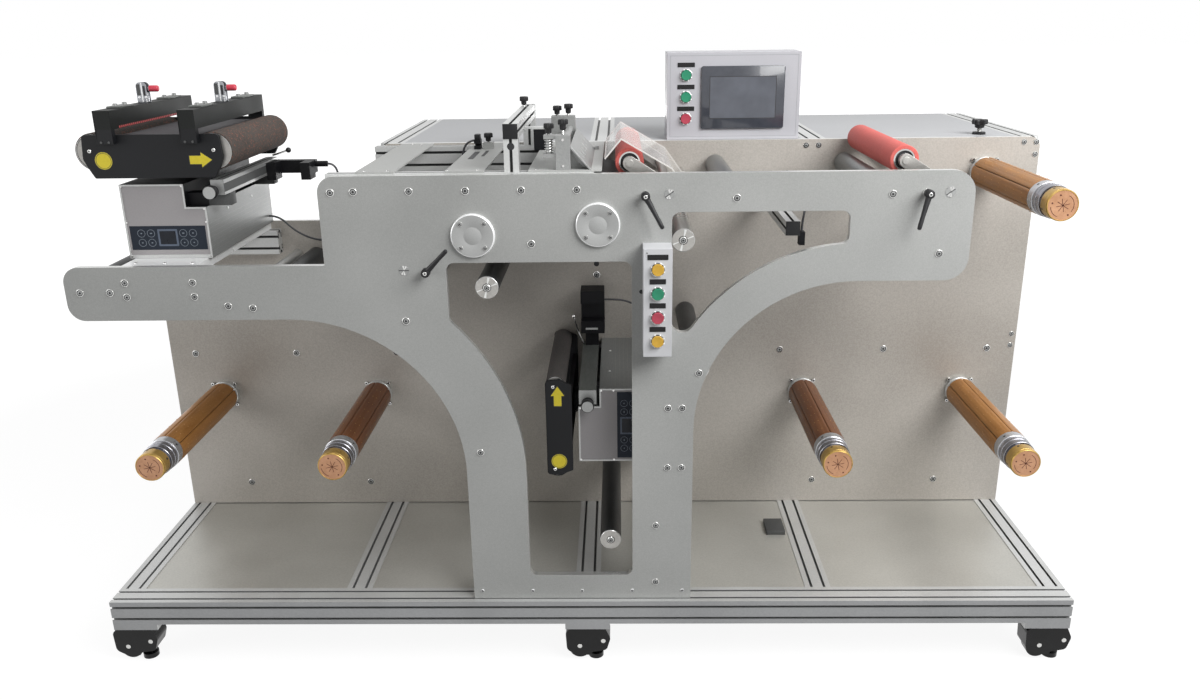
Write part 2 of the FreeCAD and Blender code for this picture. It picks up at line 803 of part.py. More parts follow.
def toggle_handle(sign):
    # A pin between the cheeks, a bar and a grip that points along the machine when shut.
    u = sign * clamp_beam_u
    w = clamp_beam_high + toggle_pivot_rise
    reach = toggle_half - toggle_cheek
    pin = rod_y(u, w, 5.0, toggle_y - reach, toggle_y + reach)
    bar = box(u, u + 16, toggle_y - reach + 2, toggle_y + reach - 2, w - 4, w + 4)
    grip = rod_x(toggle_y, w, 7.0, u + 16, u + 16 + toggle_grip)
    end = [e for e in grip.Edges if abs(e.CenterOfMass.x - (u + 16 + toggle_grip)) < 0.1]
    return [joined([pin, bar]), grip.makeFillet(4.0, end)]


def place_infeed(shapes):
    for shape in shapes:
        shape.translate(vec(infeed_guide_x, infeed_guide_y, arm_top))
    return shapes


def place_centre(shapes):
    # The same guide turned on its side: its width stands upright and its top faces the left.
    for shape in shapes:
        shape.rotate(vec(0, 0, 0), vec(0, 1, 0), -90)
        shape.translate(vec(centre_guide_bottom_x, centre_guide_y, centre_guide_z))
    return shapes


centre_guide_length = back_y0 - centre_guide_y
infeed_rail = dict(u=110.0, w=138.0, wide=28.0, tall=32.0, knob=(114.0, 146.0))
centre_rail = dict(u=56.0, w=118.0, wide=34.0, tall=40.0, knob=(59.0, 138.0))
sensor_rail_length = 360.0
fork_length = 103.0
fork_prong = 22.0
fork_drop = 11.0
fork_rise = 29.0
plug_rise = 19.0
plug_length = 28.0
knob_radius = 12.0


def sensor_rail(place, length):
    u, w, wide, tall = place["u"], place["w"], place["wide"], place["tall"]
    notch_floor = guide_height - guide_notch_drop
    half = guide_width / 2
    bar = box(u, u + wide, -10, length - 10, w, w + tall)
    pieces = [bar]
    for y in (20, length - 60):
        pieces.append(box(half - guide_notch, u + wide, y, y + 30, notch_floor, w))
    return pieces


def edge_sensor(place, length):
    # A fork-shaped sensor at the back of the rail and the knob that moves it at the front.
    u, w = place["u"] + place["wide"], place["w"]
    y = length - 60
    end = u + fork_length
    low, high = w - fork_drop, w + fork_rise
    fork = [box(u, u + fork_prong, y - 44, y, low, high), box(end - fork_prong, end, y - 44, y, low, high)]
    fork.append(box(u, end, y, y + 22, w - 1, high))
    ku, kw = place["knob"]
    knob = rod_y(ku, kw, knob_radius, -32, -10)
    plug = rod_x(y + 11, w + plug_rise, 7.0, end, end + plug_length)
    return fork + [knob, plug]


def upright_sensor(place, length):
    # A fork sensor that stands above the rail, its gap open towards the operator.
    u = place["u"] + place["wide"]
    y = length - 62
    neck = box(u, u + 38, y + 20, y + 50, 118, 151)
    pieces = [neck, box(u + 38, u + 149, y + 38, y + 60, 102, 162)]
    pieces.append(box(u + 38, u + 70, y, y + 38, 102, 162))
    pieces.append(box(u + 117, u + 149, y, y + 38, 102, 162))
    ku, kw = place["knob"]
    return pieces + [rod_y(ku, kw, knob_radius + 2, -34, -10)]


def star_knob(x, y, z, radius=11.0, screw=10.0, neck=10.0):
    # A five-lobed head on a neck and a screw: the outline of a small clamping knob.
    top = z + screw + neck
    pieces = [rod_z(x, y, radius * 0.78, top, top + radius)]
    for i in range(5):
        angle = math.radians(72 * i)
        lobe_x = x + radius * 0.7 * math.cos(angle)
        lobe_y = y + radius * 0.7 * math.sin(angle)
        pieces.append(rod_z(lobe_x, lobe_y, radius * 0.3, top, top + radius))
    pieces.append(rod_z(x, y, radius * 0.55, z + screw, top))
    pieces.append(rod_z(x, y, radius * 0.3, z, z + screw))
    return joined(pieces)


def deck():
    pieces = []
    low = table_top - bridge_thick
    for x, width in bridges:
        pieces.append(box(x, x + width, front_y1, back_y0, low, table_top))
    half = foot_width / 2
    pieces.append(box(infeed_guide_x - half, infeed_guide_x + half, front_y1, back_y0,
                      arm_top - foot_thick, arm_top))
    pieces += slitter_blocks()
    return pieces


slitter_x = (-47.0, -17.0)
slitter_back_x = (-74.0, -19.0)
slitter_front_y = (front_y1, front_y1 + 30.0)
slitter_back_y = (340.0, 370.0)
slitter_top = table_top + 69.0
slitter_back_top = table_top + 78.0
slitter_back_cheek = 40.0
slitter_rod_drop = 20.0
stem_x = -61.0
stem_low = table_top + 32.0
stem_high = table_top + 61.0
stem_plate = 8.0


def slitter_blocks():
    x0, x1 = slitter_x
    y0, y1 = slitter_front_y
    pieces = [box(x0, x1, y0, y1, table_top, slitter_top)]
    bx0, bx1 = slitter_back_x
    by0, by1 = slitter_back_y
    shelf = slitter_top - slitter_back_cheek
    pieces.append(box(bx0, bx1, by0, by1, shelf, slitter_back_top))
    pieces.append(box(x0, bx1, by0, by1, table_top, shelf))
    pieces.append(rod_y((x0 + x1) / 2, slitter_top - slitter_rod_drop, axle_radius, y1, by0))
    middle = (y0 + y1) / 2
    near, far = y0 + 4, y1 - 4
    pieces.append(box(stem_x - 12, x0, near, far, stem_low - stem_plate, stem_low))
    pieces.append(rod_z(stem_x, middle, 6.0, stem_low, stem_high))
    pieces.append(box(stem_x - 10, x0, near, far, stem_high, stem_high + stem_plate))
    return pieces + slotted_slope()


slope_run = 38.0
slope_drop = 42.0
slope_thick = 4.0
slope_lip = 14.0


def slotted_slope():
    # A slotted plate that slopes down from the two blocks, with a bar under each end.
    x = slitter_x[1]
    high = table_top + slope_drop
    y0, y1 = slitter_front_y[0], slitter_back_y[1]
    outline = [(x, high, 0), (x + slope_run, table_top, 0), (x + slope_run + slope_thick, table_top, 0)]
    outline.append((x, high + slope_thick * 1.5, 0))
    plate = prism_y(outline, y0, y1)
    lip = [(x, high, 0), (x, high - slope_lip, 0), (x + slope_run - slope_lip, table_top, 0)]
    lip.append((x + slope_run, table_top, 0))
    cuts = []
    tilt = math.degrees(math.atan2(slope_drop, slope_run))
    for i in range(6):
        y = y0 + 48 + i * 48
        slot = box(-9, 9, y, y + 7, -20, 20)
        slot.rotate(vec(0, 0, 0), vec(0, 1, 0), tilt)
        slot.translate(vec(x + slope_run / 2, 0, table_top + slope_drop / 2))
        cuts.append(slot)
    bars = [prism_y(lip, slitter_front_y[1], slitter_front_y[1] + 8)]
    bars.append(prism_y(lip, slitter_back_y[0] - 8, slitter_back_y[0]))
    foot = x + slope_run + slope_thick
    bars.append(box(foot, foot + 10, y1 - 24, y1, table_top, table_top + 8))
    return [plate.cut(cuts)] + bars


def small_profiles():
    thick = small_rail
    rails = []
    z1 = table_top - bridge_thick
    x0, x1 = top_rail_x
    rails.append(beam("x", x0, x1, front_y1, front_y1 + thick, z1 - 2 * thick, z1))
    rails.append(beam("x", x0, x1, back_y0 - thick, back_y0, z1 - 2 * thick, z1))
    z1 = arm_top - foot_thick
    x0, x1 = support_rail_x
    rails.append(beam("x", x0, x1, front_y1, front_y1 + thick, z1 - 2 * thick, z1))
    rails.append(beam("x", x0, x1, back_y0 - thick, back_y0, z1 - 2 * thick, z1))
    rails += gantry()
    bx, bz = window_bar
    rails.append(beam("y", bx, bx + thick, front_y1 + 31, back_y0, bz, bz + thick))
    for z in bracket_z:
        rails.append(beam("y", 170, 170 + 2 * thick, front_y1, back_y0, z - thick / 2, z + thick / 2))
    for left, right in zip(cabinet_x, cabinet_x[1:]):
        rails.append(beam("x", left + rail / 2, right - rail / 2, back_y1, back_y1 + thick,
                          panel_low - thick, panel_low))
    return rails


def end_cap(x, y, z):
    return box(x, x + small_rail, y - 3, y, z, z + small_rail)


def gantry():
    thick = small_rail
    x = gantry_x
    low = table_top - bridge_thick
    high = low + gantry_rise
    rails = [beam("z", x, x + thick, front_y1, front_y1 + thick, low, high)]
    rails.append(beam("z", x, x + thick, back_y0 - thick, back_y0, low, high + thick))
    rails.append(beam("y", x, x + thick, front_y1, back_y0 - thick, high, high + thick))
    return rails


def gantry_sensor():
    x = gantry_x + small_rail
    top = table_top - bridge_thick + gantry_rise
    arm = box(x, x + 46, 158, 172, top + 6, top + 10)
    body = box(x + 22, x + 46, 150, 180, top - 38, top + 6)
    return [arm, body]


def window_sensor():
    x = window_bar[0] + small_rail
    z = window_bar[1]
    return [box(x, x + 12, front_y1 + 34, front_y1 + 54, z - 22, z + 6)]


def bridge_sensor():
    x = bridges[1][0]
    body = box(x + 14, x + 29, 372, 402, table_top, table_top + 22)
    gap = box(x + 13, x + 30, 371, 392, table_top + 8, table_top + 13)
    return [body.cut(gap), box(x + 34, x + 58, 380, 404, table_top, table_top + 14)]


def sensors():
    pieces = place_infeed(sensor_rail(infeed_rail, sensor_rail_length)
                          + edge_sensor(infeed_rail, sensor_rail_length))
    pieces += place_centre(sensor_rail(centre_rail, sensor_rail_length)
                           + upright_sensor(centre_rail, sensor_rail_length))
    pieces += gantry_sensor() + window_sensor() + bridge_sensor()
    return pieces


def black_fittings():
    beam_top = table_top - bridge_thick + gantry_rise + small_rail
    middle_y = sum(slitter_front_y) / 2
    back_y = sum(slitter_back_y) / 2
    x2 = sum(slitter_x) / 2
    pieces = [star_knob(gantry_knob_x, 430, beam_top, 11, 4, 8), star_knob(x2, middle_y, slitter_top)]
    pieces.append(star_knob(stem_x, middle_y, stem_high + stem_plate, 11, 3, 9))
    pieces.append(star_knob(stem_x, back_y, slitter_back_top, 11, 3, 8))
    pieces.append(star_knob(x2 - 3, back_y, slitter_back_top, 11, 5, 10))
    pieces.append(star_knob(bridges[1][0] + 46, 392, table_top + 14, 11, 3, 8))
    x, y = cabinet_knob_x, 566
    pieces.append(rod_z(x, y, 16, table_top, table_top + 6))
    pieces.append(star_knob(x, y, table_top + 6, 20, 6, 10))
    bx, bz = window_bar
    pieces.append(end_cap(bx, front_y1 + 31, bz))
    pieces.append(end_cap(gantry_x, front_y1, beam_top - small_rail))
    floor = rail_top - floor_drop
    x = cross_x[3] - rail / 2 - floor_block_gap
    pieces.append(box(x - floor_block, x, 312, 380, floor, floor + 12))
    return pieces


def panel_box(x0, x1, y0, y1, z0, z1):
    # A sheet housing that is open at the back.
    shell = box(x0, x1, y0, y1, z0, z1)
    hollow = box(x0 + box_wall, x1 - box_wall, y0 + box_wall, y1 + 1, z0 + box_wall, z1 - box_wall)
    return shell.cut(hollow)


hmi_front = back_y1 + hmi_gap
button_front = front_y0 - button_depth
hmi_buttons = [(hmi_button_x, table_top + hmi_button_first + i * hmi_button_pitch) for i in range(3)]
column_buttons = [(sum(button_x) / 2, button_z[1] - button_first - i * button_pitch) for i in range(4)]


def ring(x, z, face_y):
    return tube_y(x, z, button_ring_radius, button_radius + run_gap, face_y - button_ring_stand, face_y)


def control_housing():
    x0, x1 = hmi_x
    shell = panel_box(x0, x1, hmi_front, hmi_front + hmi_depth - 2 * box_wall, table_top, table_top + hmi_height)
    cuts = [box(bezel_x[0] + 6, bezel_x[1] - 6, hmi_front - 1, hmi_front + box_wall + 1,
                table_top + bezel_z[0] + 6, table_top + bezel_z[1] - 6)]
    for x, z in hmi_buttons:
        cuts.append(rod_y(x, z, button_radius + run_gap, hmi_front - 1, hmi_front + box_wall + 1))
    lid = box(x0, x1, hmi_front + hmi_depth - 2 * box_wall, hmi_front + hmi_depth - box_wall,
              table_top, table_top + hmi_height)
    return [shell.cut(cuts), lid] + [ring(x, z, hmi_front) for x, z in hmi_buttons]


def touch_screen():
    x0, x1 = bezel_x
    z0, z1 = table_top + bezel_z[0], table_top + bezel_z[1]
    bezel = box(x0, x1, hmi_front - bezel_thick, hmi_front, z0, z1)
    bezel = bezel.cut(box(x0 + 22, x1 - 22, hmi_front - bezel_thick - 1, hmi_front - bezel_thick + 1,
                          z0 + 26, z1 - 26))
    body = box(x0 + 8, x1 - 8, hmi_front, hmi_front + 36, z0 + 8, z1 - 8)
    return [joined([bezel, body])]


def button_housing():
    x0, x1 = button_x
    z0, z1 = button_z
    shell = panel_box(x0, x1, button_front, front_y0, z0, z1)
    cuts = [rod_y(x, z, button_radius + run_gap, button_front - 1, button_front + box_wall + 1)
            for x, z in column_buttons]
    return [shell.cut(cuts)] + [ring(x, z, button_front) for x, z in column_buttons]


def push_button(x, z, face_y):
    front = face_y - button_ring_stand - button_cap_stand
    cap = rod_y(x, z, button_radius, front, face_y + button_stem)
    lip = [e for e in cap.Edges if abs(e.CenterOfMass.y - front) < 0.1]
    return [cap.makeFillet(1.5, lip)]


def motors():
    pieces = []
    clear = journal_radius + fit_gap
    for x, z in shaft_axes() + [press_drum, traction_drum]:
        flange = box(x - 45, x + 45, back_y1, back_y1 + 12, z - 45, z + 45)
        body = rod_y(x, z, 40, back_y1 + 12, back_y1 + 132)
        tail = rod_y(x, z, 30, back_y1 + 132, back_y1 + 160)
        whole = joined([flange, body, tail])
        pieces.append(whole.cut(rod_y(x, z, clear, back_y1 - 1, back_y1 + journal_tail + 1)))
    return pieces


def caster(x, y):
    # A levelling caster: a swivelling housing, a wheel held clear of the floor and a foot on it.
    top = pad_low
    outline = [(x + px, pz, radius) for px, pz, radius in caster_outline]
    wheel_x = x + caster_wheel_x
    wheel_z = caster_wheel_radius + caster_lift
    half = caster_wheel_half + 1
    shell = prism_y(outline, y - caster_half, y + caster_half)
    shell = joined([shell, rod_z(x, y, 36, top - caster_head, top)])
    shell = shell.cut(rod_y(wheel_x, wheel_z, caster_wheel_radius + 1.5, y - half, y + half))
    shell = shell.cut(box(wheel_x - 20, wheel_x + 20, y - half, y + half, 0, wheel_z))
    wheel = joined([rod_y(wheel_x, wheel_z, caster_wheel_radius, y - half + 1, y + half - 1),
                    rod_y(wheel_x, wheel_z, 6, y - half, y + half)])
    foot_x = x + caster_foot_x
    foot = joined([rod_z(foot_x, y, caster_foot_radius, 0, caster_foot_height),
                   rod_z(foot_x, y, 7, caster_foot_height, 22)])
    shell = shell.cut(rod_z(foot_x, y, 7, 0, 22))
    bolts = []
    for bx, bz in ((wheel_x, wheel_z + 14), (x + 36, 56.0)):
        bolts.append(rod_y(bx, bz, 5.5, y - caster_half - 2, y - caster_half))
    return [shell, wheel, foot] + bolts


def lead(points, radius):
    # A cable along straight runs joined by tangent arcs.
    edges = []
    last = points[0]
    for i in range(1, len(points) - 1):
        before, here, after = points[i - 1], points[i], points[i + 1]
        turn = (here - before).getAngle(after - here)
        shorter = min((here - before).Length, (after - here).Length)
        bend = 0.45 * shorter / math.tan(turn / 2)
        start, middle, end = corner_arc(before, here, after, bend)
        edges.append(Part.makeLine(last, start))
        edges.append(Part.Arc(start, middle, end).toShape())
        last = end
    edges.append(Part.makeLine(last, points[-1]))
    path = Part.Wire(edges)
    first = (points[1] - points[0]).normalize()
    ring_wire = Part.Wire(Part.makeCircle(radius, points[0], first))
    tube = path.makePipeShell([ring_wire], True, False)
    ideal = math.pi * radius * radius * path.Length
    print("lead length %.0f mm, volume ratio %.4f" % (path.Length, tube.Volume / ideal))
    return tube


lead_radius = 2.5
gland_radius = 6.0


def gland(x, z):
    return rod_y(x, z, gland_radius, back_y0 - 12, back_y0)


def fork_lead():
    end = infeed_guide_x + infeed_rail["u"] + infeed_rail["wide"] + fork_length + plug_length
    y = infeed_guide_y + sensor_rail_length - 49
    z = arm_top + infeed_rail["w"] + plug_rise
    points = [(end, y, z), (end + 16, y, z), (end + 24, y + 6, z - 30), (end + 20, y + 20, z - 80)]
    low = arm_top - 21
    points += [(end + 8, y + 26, z - 124), (end + 6, y + 34, low + 16), (end + 20, back_y0 - 30, low)]
    return points + [(end + 20, back_y0 - 12, low)]


def box_lead():
    side = infeed_guide_x + guide_width / 2
    low = arm_top - 45
    points = [(side, 470, low + 64), (side + 20, 470, low + 64), (side + 60, 474, low + 30)]
    points += [(side + 110, 470, low + 10), (side + 146, 474, low + 8), (side + 164, back_y0 - 34, low)]
    return points + [(side + 164, back_y0 - 12, low)]


def upright_lead():
    # From the top of the centre guide's sensor round to the back plate.
    low = centre_guide_z + 176
    points = [(42, 430, low + 40), (60, 430, low + 40), (84, 436, low + 38), (112, 450, low + 28)]
    points += [(140, 470, low + 10), (146, back_y0 - 30, low)]
    return points + [(146, back_y0 - 12, low)]


def bridge_lead():
    x = bridges[1][0] + 22
    low = table_top - 88
    points = [(x, 402, low + 102), (x, 414, low + 102), (x - 16, 430, low + 104)]
    points += [(x - 40, 440, low + 92), (x - 50, 448, low + 56), (x - 52, 456, low + 14)]
    return points + [(x - 56, back_y0 - 34, low), (x - 56, back_y0 - 12, low)]


def window_lead():
    x = window_bar[0] + small_rail + 6
    low = window_bar[1] + 6
    points = [(x, 73, low), (x, 73, low + 16), (x + 6, 84, low + 40), (x + 16, 120, low + 60)]
    points += [(x + 24, 190, low + 68), (x + 30, 280, low + 72), (x + 34, 380, low + 68)]
    return points + [(x + 36, back_y0 - 34, low + 58), (x + 36, back_y0 - 12, low + 58)]


def sensor_leads():
    tubes = []
    for route in (fork_lead(), box_lead(), upright_lead(), bridge_lead(), window_lead()):
        tubes.append(lead([vec(*point) for point in route], lead_radius))
        tubes.append(gland(route[-1][0], route[-1][2]))
    return tubes


def save_static():
    save("profile_frame", base_rails() + cabinet_rails())
    save("infill_panels", floor_panels() + cabinet_panels())
    save("front_plate", [front_plate()])
    save("back_plate", [back_plate()])
    save("plate_fasteners", fasteners())
    save("shaft_flanges", shaft_flanges())
    save("deck_plates", deck())
    save("control_housing", control_housing())
    save("touch_screen", touch_screen())
    save("button_box", button_housing())
    save("small_profiles", small_profiles())
    save("black_fittings", black_fittings())
    save("guide_boxes", place_infeed([guide_box(infeed_guide_length)])
         + place_centre([guide_box(centre_guide_length)]))
    save("edge_sensors", sensors())
    save("drive_motors", motors())
    save("sensor_leads", sensor_leads())


def save_rollers():
    names = ("air_shaft_far_left", "air_shaft_left", "air_shaft_right", "air_shaft_far_right",
             "air_shaft_top_right")
    for name, (x, z) in zip(names, shaft_axes()):
        save(name, air_shaft(x, z))
    names = ("idler_window", "idler_low", "idler_steel")
    for name, (x, z, inset) in zip(names, cantilever_idlers):
        save(name, idler(x, z, front_y1 + inset, back_y0 - run_gap))
    names = ("idler_column", "idler_upper", "idler_right_nip", "idler_bed", "idler_bed_end")
    for name, (x, z) in zip(names, bridged_idlers):
        save(name, idler(x, z, front_y1 + idler_inset, back_y0 - idler_inset))
    save("press_drum", drum(press_drum[0], press_drum[1], press_drum_radius))
    save("traction_drum", drum(traction_drum[0], traction_drum[1], traction_drum_radius))
    for index, side in enumerate(("left", "right")):
        save("nip_arm_" + side, nip_arm(index))
        save("nip_roller_" + side, nip_roller(index))
    save("nip_cover", nip_cover())


def save_guides():
    save("infeed_guide_frame", place_infeed(guide_frame(infeed_frame) + clamp_beams(infeed_frame)))
    save("centre_guide_frame", place_centre(guide_frame(centre_frame)))
    for sign, end in ((-1, "in"), (1, "out")):
        save("infeed_guide_roller_" + end, place_infeed(guide_roller(infeed_frame, sign)))
        save("centre_guide_roller_" + end, place_centre(guide_roller(centre_frame, sign)))
        save("clamp_toggle_" + end, place_infeed(toggle_handle(sign)))


def save_controls():
    for i, (x, z) in enumerate(hmi_buttons):
        save("panel_button_%d" % (i + 1), push_button(x, z, hmi_front))
    for i, (x, z) in enumerate(column_buttons):
        save("column_button_%d" % (i + 1), push_button(x, z, button_front))
    places = [(left_lever_pivot[0] + lever_offset, left_lever_pivot[1], 46.0)]
    places += [(x - lever_offset, z, angle) for (x, z), angle in zip(nip_pivots, (-61.0, -107.0))]
    for i, (x, z, angle) in enumerate(places):
        save("clamp_lever_%d" % (i + 1), clamp_lever(x, z, angle))


def save_casters():
    for side, y in (("front", pad_y[0]), ("rear", pad_y[1])):
        for end, x in zip(("left", "middle", "right"), caster_x):
            save("caster_%s_%s" % (side, end), caster(x, y))


save_static()
save_rollers()
save_guides()
save_controls()
save_casters()
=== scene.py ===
import bpy
import bmesh
from math import cos, degrees, pi, radians, sin
from mathutils import Matrix, Vector
from mathutils.bvhtree import BVHTree

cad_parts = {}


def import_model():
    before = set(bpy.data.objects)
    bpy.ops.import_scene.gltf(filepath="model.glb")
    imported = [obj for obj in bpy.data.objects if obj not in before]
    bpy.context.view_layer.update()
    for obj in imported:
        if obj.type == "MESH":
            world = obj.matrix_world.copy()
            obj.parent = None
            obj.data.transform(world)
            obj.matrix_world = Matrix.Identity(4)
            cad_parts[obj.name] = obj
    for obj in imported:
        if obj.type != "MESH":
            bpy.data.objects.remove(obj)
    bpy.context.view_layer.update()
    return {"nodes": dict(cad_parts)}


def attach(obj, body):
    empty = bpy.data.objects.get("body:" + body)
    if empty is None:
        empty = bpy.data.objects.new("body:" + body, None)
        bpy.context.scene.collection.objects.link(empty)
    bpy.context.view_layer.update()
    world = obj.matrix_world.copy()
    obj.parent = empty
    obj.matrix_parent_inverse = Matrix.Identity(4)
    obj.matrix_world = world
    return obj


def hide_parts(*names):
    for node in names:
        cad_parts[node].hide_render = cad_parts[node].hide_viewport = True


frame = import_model()

MM = 0.001
ORIGIN_Y = 527.5
NODES = frame["nodes"]
SCENE = bpy.context.scene
SCENE.view_settings.view_transform = "Standard"

# Places repeated from the part's source, in millimetres of its drawing frame
TABLE_TOP = 1172.0
ARM_TOP = 981.0
RAIL_TOP = 180.0
FRONT_Y0, FRONT_Y1 = 14.0, 29.0
BACK_Y0, BACK_Y1 = 503.0, 518.0
AXLE_RADIUS = 8.0
BORE = 8.05
HUBS = ((-221, 1042), (37, 1062))
NIPS = (("left", 103, 1179), ("right", 670, 1178))
LEVERS = (("clamp_lever_1", -320, 969, 46), ("clamp_lever_2", 134, 1123, -61),
          ("clamp_lever_3", 701, 1122, -107))
SHAFTS = {"air_shaft_far_left": (-988, 509), "air_shaft_left": (-572, 509), "air_shaft_right": (567, 509),
          "air_shaft_far_right": (984, 509), "air_shaft_top_right": (988, 1088)}
INFEED_X = -890.0

# Every guide box and deck plate with x below this stands on the infeed arm
LEFT_BAY = -700.0
# In metres: how far a slot's wall can be from the next, and the step off a face before looking
SLOT_REACH, OFF_FACE = 0.014, 1e-5


def at(x, y, z):
    """A point of the drawing, in millimetres, as a point of the row frame, in metres."""
    return Vector((x * MM, (y - ORIGIN_Y) * MM, z * MM))


def infeed(u, y, w):
    """A point of the infeed web guide's own drawing."""
    return at(INFEED_X + u, 95 + y, ARM_TOP + w)


def centre(u, y, w):
    """A point of the centre web guide, which lies on its side."""
    return at(144 - w, 125 + y, 570 + u)


def linear(rgb):
    """A colour written as 0 to 255 becomes the linear one that shaders take."""
    shares = [min(c, 255) / 255 for c in rgb]
    return (*(s / 12.92 if s <= 0.04045 else ((s + 0.055) / 1.055) ** 2.4 for s in shares), 1.0)


def polar(x, z, radius, turn):
    """The point at a radius and an angle in radians round (x, z)."""
    return x + radius * cos(turn), z + radius * sin(turn)


def bar(x, z, start, end, half, turn):
    """The corners of a thin bar that leaves (x, z) at an angle in radians."""
    c, s = cos(turn), sin(turn)
    return [(x + u * c - w * s, z + u * s + w * c)
            for u, w in ((start, -half), (end, -half), (end, half), (start, half))]


def add(name, data):
    """A new object in the scene."""
    obj = bpy.data.objects.new(name, data)
    SCENE.collection.objects.link(obj)
    return obj


# Materials

def shade(tree, kind, out, values, **settings):
    """A new shader node, its sockets linked to other sockets or set to values. Returns one output."""
    node = tree.nodes.new("ShaderNode" + kind)
    for key, value in settings.items():
        setattr(node, key, value)
    for key, value in values.items():
        if isinstance(value, bpy.types.NodeSocket):
            tree.links.new(value, node.inputs[key])
        else:
            node.inputs[key].default_value = value
    return node.outputs[out]


def noise(tree, vector, size, detail=3.0):
    return shade(tree, "TexNoise", "Fac", {"Vector": vector, "Scale": size, "Detail": detail})


def mixed(tree, factor, a, b):
    return shade(tree, "Mix", 2, {0: factor, 6: a, 7: b}, data_type="RGBA")


def ranged(tree, value, low, high, start=0.3, end=0.7):
    return shade(tree, "MapRange", "Result", {"Value": value, "From Min": start, "From Max": end,
                                              "To Min": low, "To Max": high})


def maths(tree, operation, *values):
    return shade(tree, "Math", 0, dict(enumerate(values)), operation=operation)


def surface(name, rgb, rough, metal=0.0, tone=8, grain=500.0, cloud=5.0, spread=0.06, bump=0.1,
            bump_size=900.0, stretch=(1, 1, 1), fleck=None, fleck_size=350.0, shine=0.5, **constants):
    """A procedural finish: a tone that wanders in grain and clouds, with its own gloss and bump."""
    mat = bpy.data.materials.new(name)
    mat.use_nodes = True
    tree = mat.node_tree
    link = tree.links.new
    shader = tree.nodes["Principled BSDF"]
    where = shade(tree, "TexCoord", "Object", {})
    vector = shade(tree, "Mapping", "Vector", {"Vector": where, "Scale": stretch})
    fine = noise(tree, vector, grain)
    broad = noise(tree, vector, cloud, 2.0)
    wander = maths(tree, "MULTIPLY_ADD", fine, 0.6, ranged(tree, broad, 0.0, 0.4, 0.25, 0.75))
    dark, light = (linear([c + step for c in rgb]) for step in (-tone, tone))
    colour = mixed(tree, ranged(tree, wander, 0.0, 1.0), dark, light)
    if fleck:
        spots = ranged(tree, noise(tree, vector, fleck_size, 1.0), 0.0, 0.8, 0.58, 0.68)
        colour = mixed(tree, spots, colour, linear(fleck))
    link(colour, shader.inputs["Base Color"])
    link(ranged(tree, broad, rough - spread, rough + spread), shader.inputs["Roughness"])
    for key, value in {"Metallic": metal, "Specular_IOR_Level": shine, **constants}.items():
        shader.inputs[key.replace("_", " ")].default_value = value
    if bump:
        height = noise(tree, vector, bump_size)
        relief = shade(tree, "Bump", "Normal", {"Strength": bump, "Distance": 0.0003, "Height": height})
        link(relief, shader.inputs["Normal"])
    return mat


PLATE = surface("blasted_plate", (168, 169, 167), 0.55, 0.06, tone=9, grain=420, cloud=3, bump=0.12,
                bump_size=700, shine=0.25)
BACK = surface("blasted_back", (170, 165, 158), 0.44, 0.22, tone=14, grain=300, cloud=2.4, bump=0.15,
               bump_size=500)
EDGE = surface("milled_edge", (214, 215, 213), 0.32, 0.8, tone=6, grain=200, stretch=(1, 6, 1))
PROFILE = surface("anodised_profile", (198, 199, 198), 0.42, 0.5, tone=6, grain=240, cloud=6)
# A darker copy of the profile finish for the base rails' faces toward the front: painted shade.
RAIL_FRONT_SHADED = surface("anodised_front_shaded", (152, 153, 154), 0.45, 0.5, tone=6, grain=240, cloud=6)
SHEET = surface("pale_sheet", (178, 179, 181), 0.62, 0.1, tone=5, grain=300, cloud=3, bump=0.05, shine=0.3)
FLOOR = surface("floor_sheet", (184, 183, 177), 0.36, 0.5, tone=9, grain=260, cloud=4, spread=0.08)
STEEL = surface("polished_steel", (205, 205, 203), 0.2, 1.0, tone=9, grain=60, cloud=20, spread=0.05,
                bump=0.03)
TURNED = surface("turned_aluminium", (196, 197, 196), 0.33, 0.8, grain=160, stretch=(3, 1, 3))
END_FACE = surface("turned_end", (168, 166, 162), 0.36, 0.7, tone=9, grain=260, cloud=30)
GREY_METAL = surface("cast_grey", (150, 151, 150), 0.45, 0.6, tone=10, grain=350, bump=0.2)
# Near black for hex sockets, holes and slots: painted shade in them. The nip rollers' seals and the screen's
# seam take it too.
SOCKET = surface("dark_socket", (38, 38, 40), 0.6, 0.2, tone=6)
COVER = surface("hub_cover", (175, 176, 175), 0.5, 0.1, tone=7, grain=420, cloud=8, bump=0.08, shine=0.3)
BRIGHT = surface("bright_edge", (246, 247, 247), 0.3, 0.3, tone=4, grain=200)
ZINC = surface("zinc_plate", (150, 152, 156), 0.26, 0.9, tone=12, grain=90, cloud=40, bump=0.05)
NOSE_DARK = surface("nose_polish", (148, 148, 154), 0.24, 0.95, tone=14, grain=60, cloud=30, bump=0.03)
NOSE = surface("nose_steel", (186, 187, 190), 0.3, 0.8, tone=9, grain=60, cloud=20, bump=0.03)
# Greys for the insides of slots, countersinks, gaps and the shadow under the sensor rail: painted shade. The
# block among the fittings takes the darker one too.
SLOT_SHADE = surface("slot_shade", (132, 133, 133), 0.6, 0.3, grain=400)
CREVICE_SHADE = surface("crevice_shade", (74, 75, 75), 0.6, 0.3, grain=400)
BRONZE = {"metal": 0.4, "tone": 10, "grain": 120, "cloud": 14, "stretch": (6, 1, 6), "spread": 0.08}
# A darker, redder copy of the leaf bronze for the two middle shafts: painted shade.
LEAF_SHADED = surface("bronze_leaf_shaded", (120, 74, 42), 0.36, **BRONZE)
LEAF = surface("bronze_leaf", (166, 114, 56), 0.38, **BRONZE)
LEAF_LINE = surface("bronze_line", (205, 165, 110), 0.35, 0.6, grain=200)
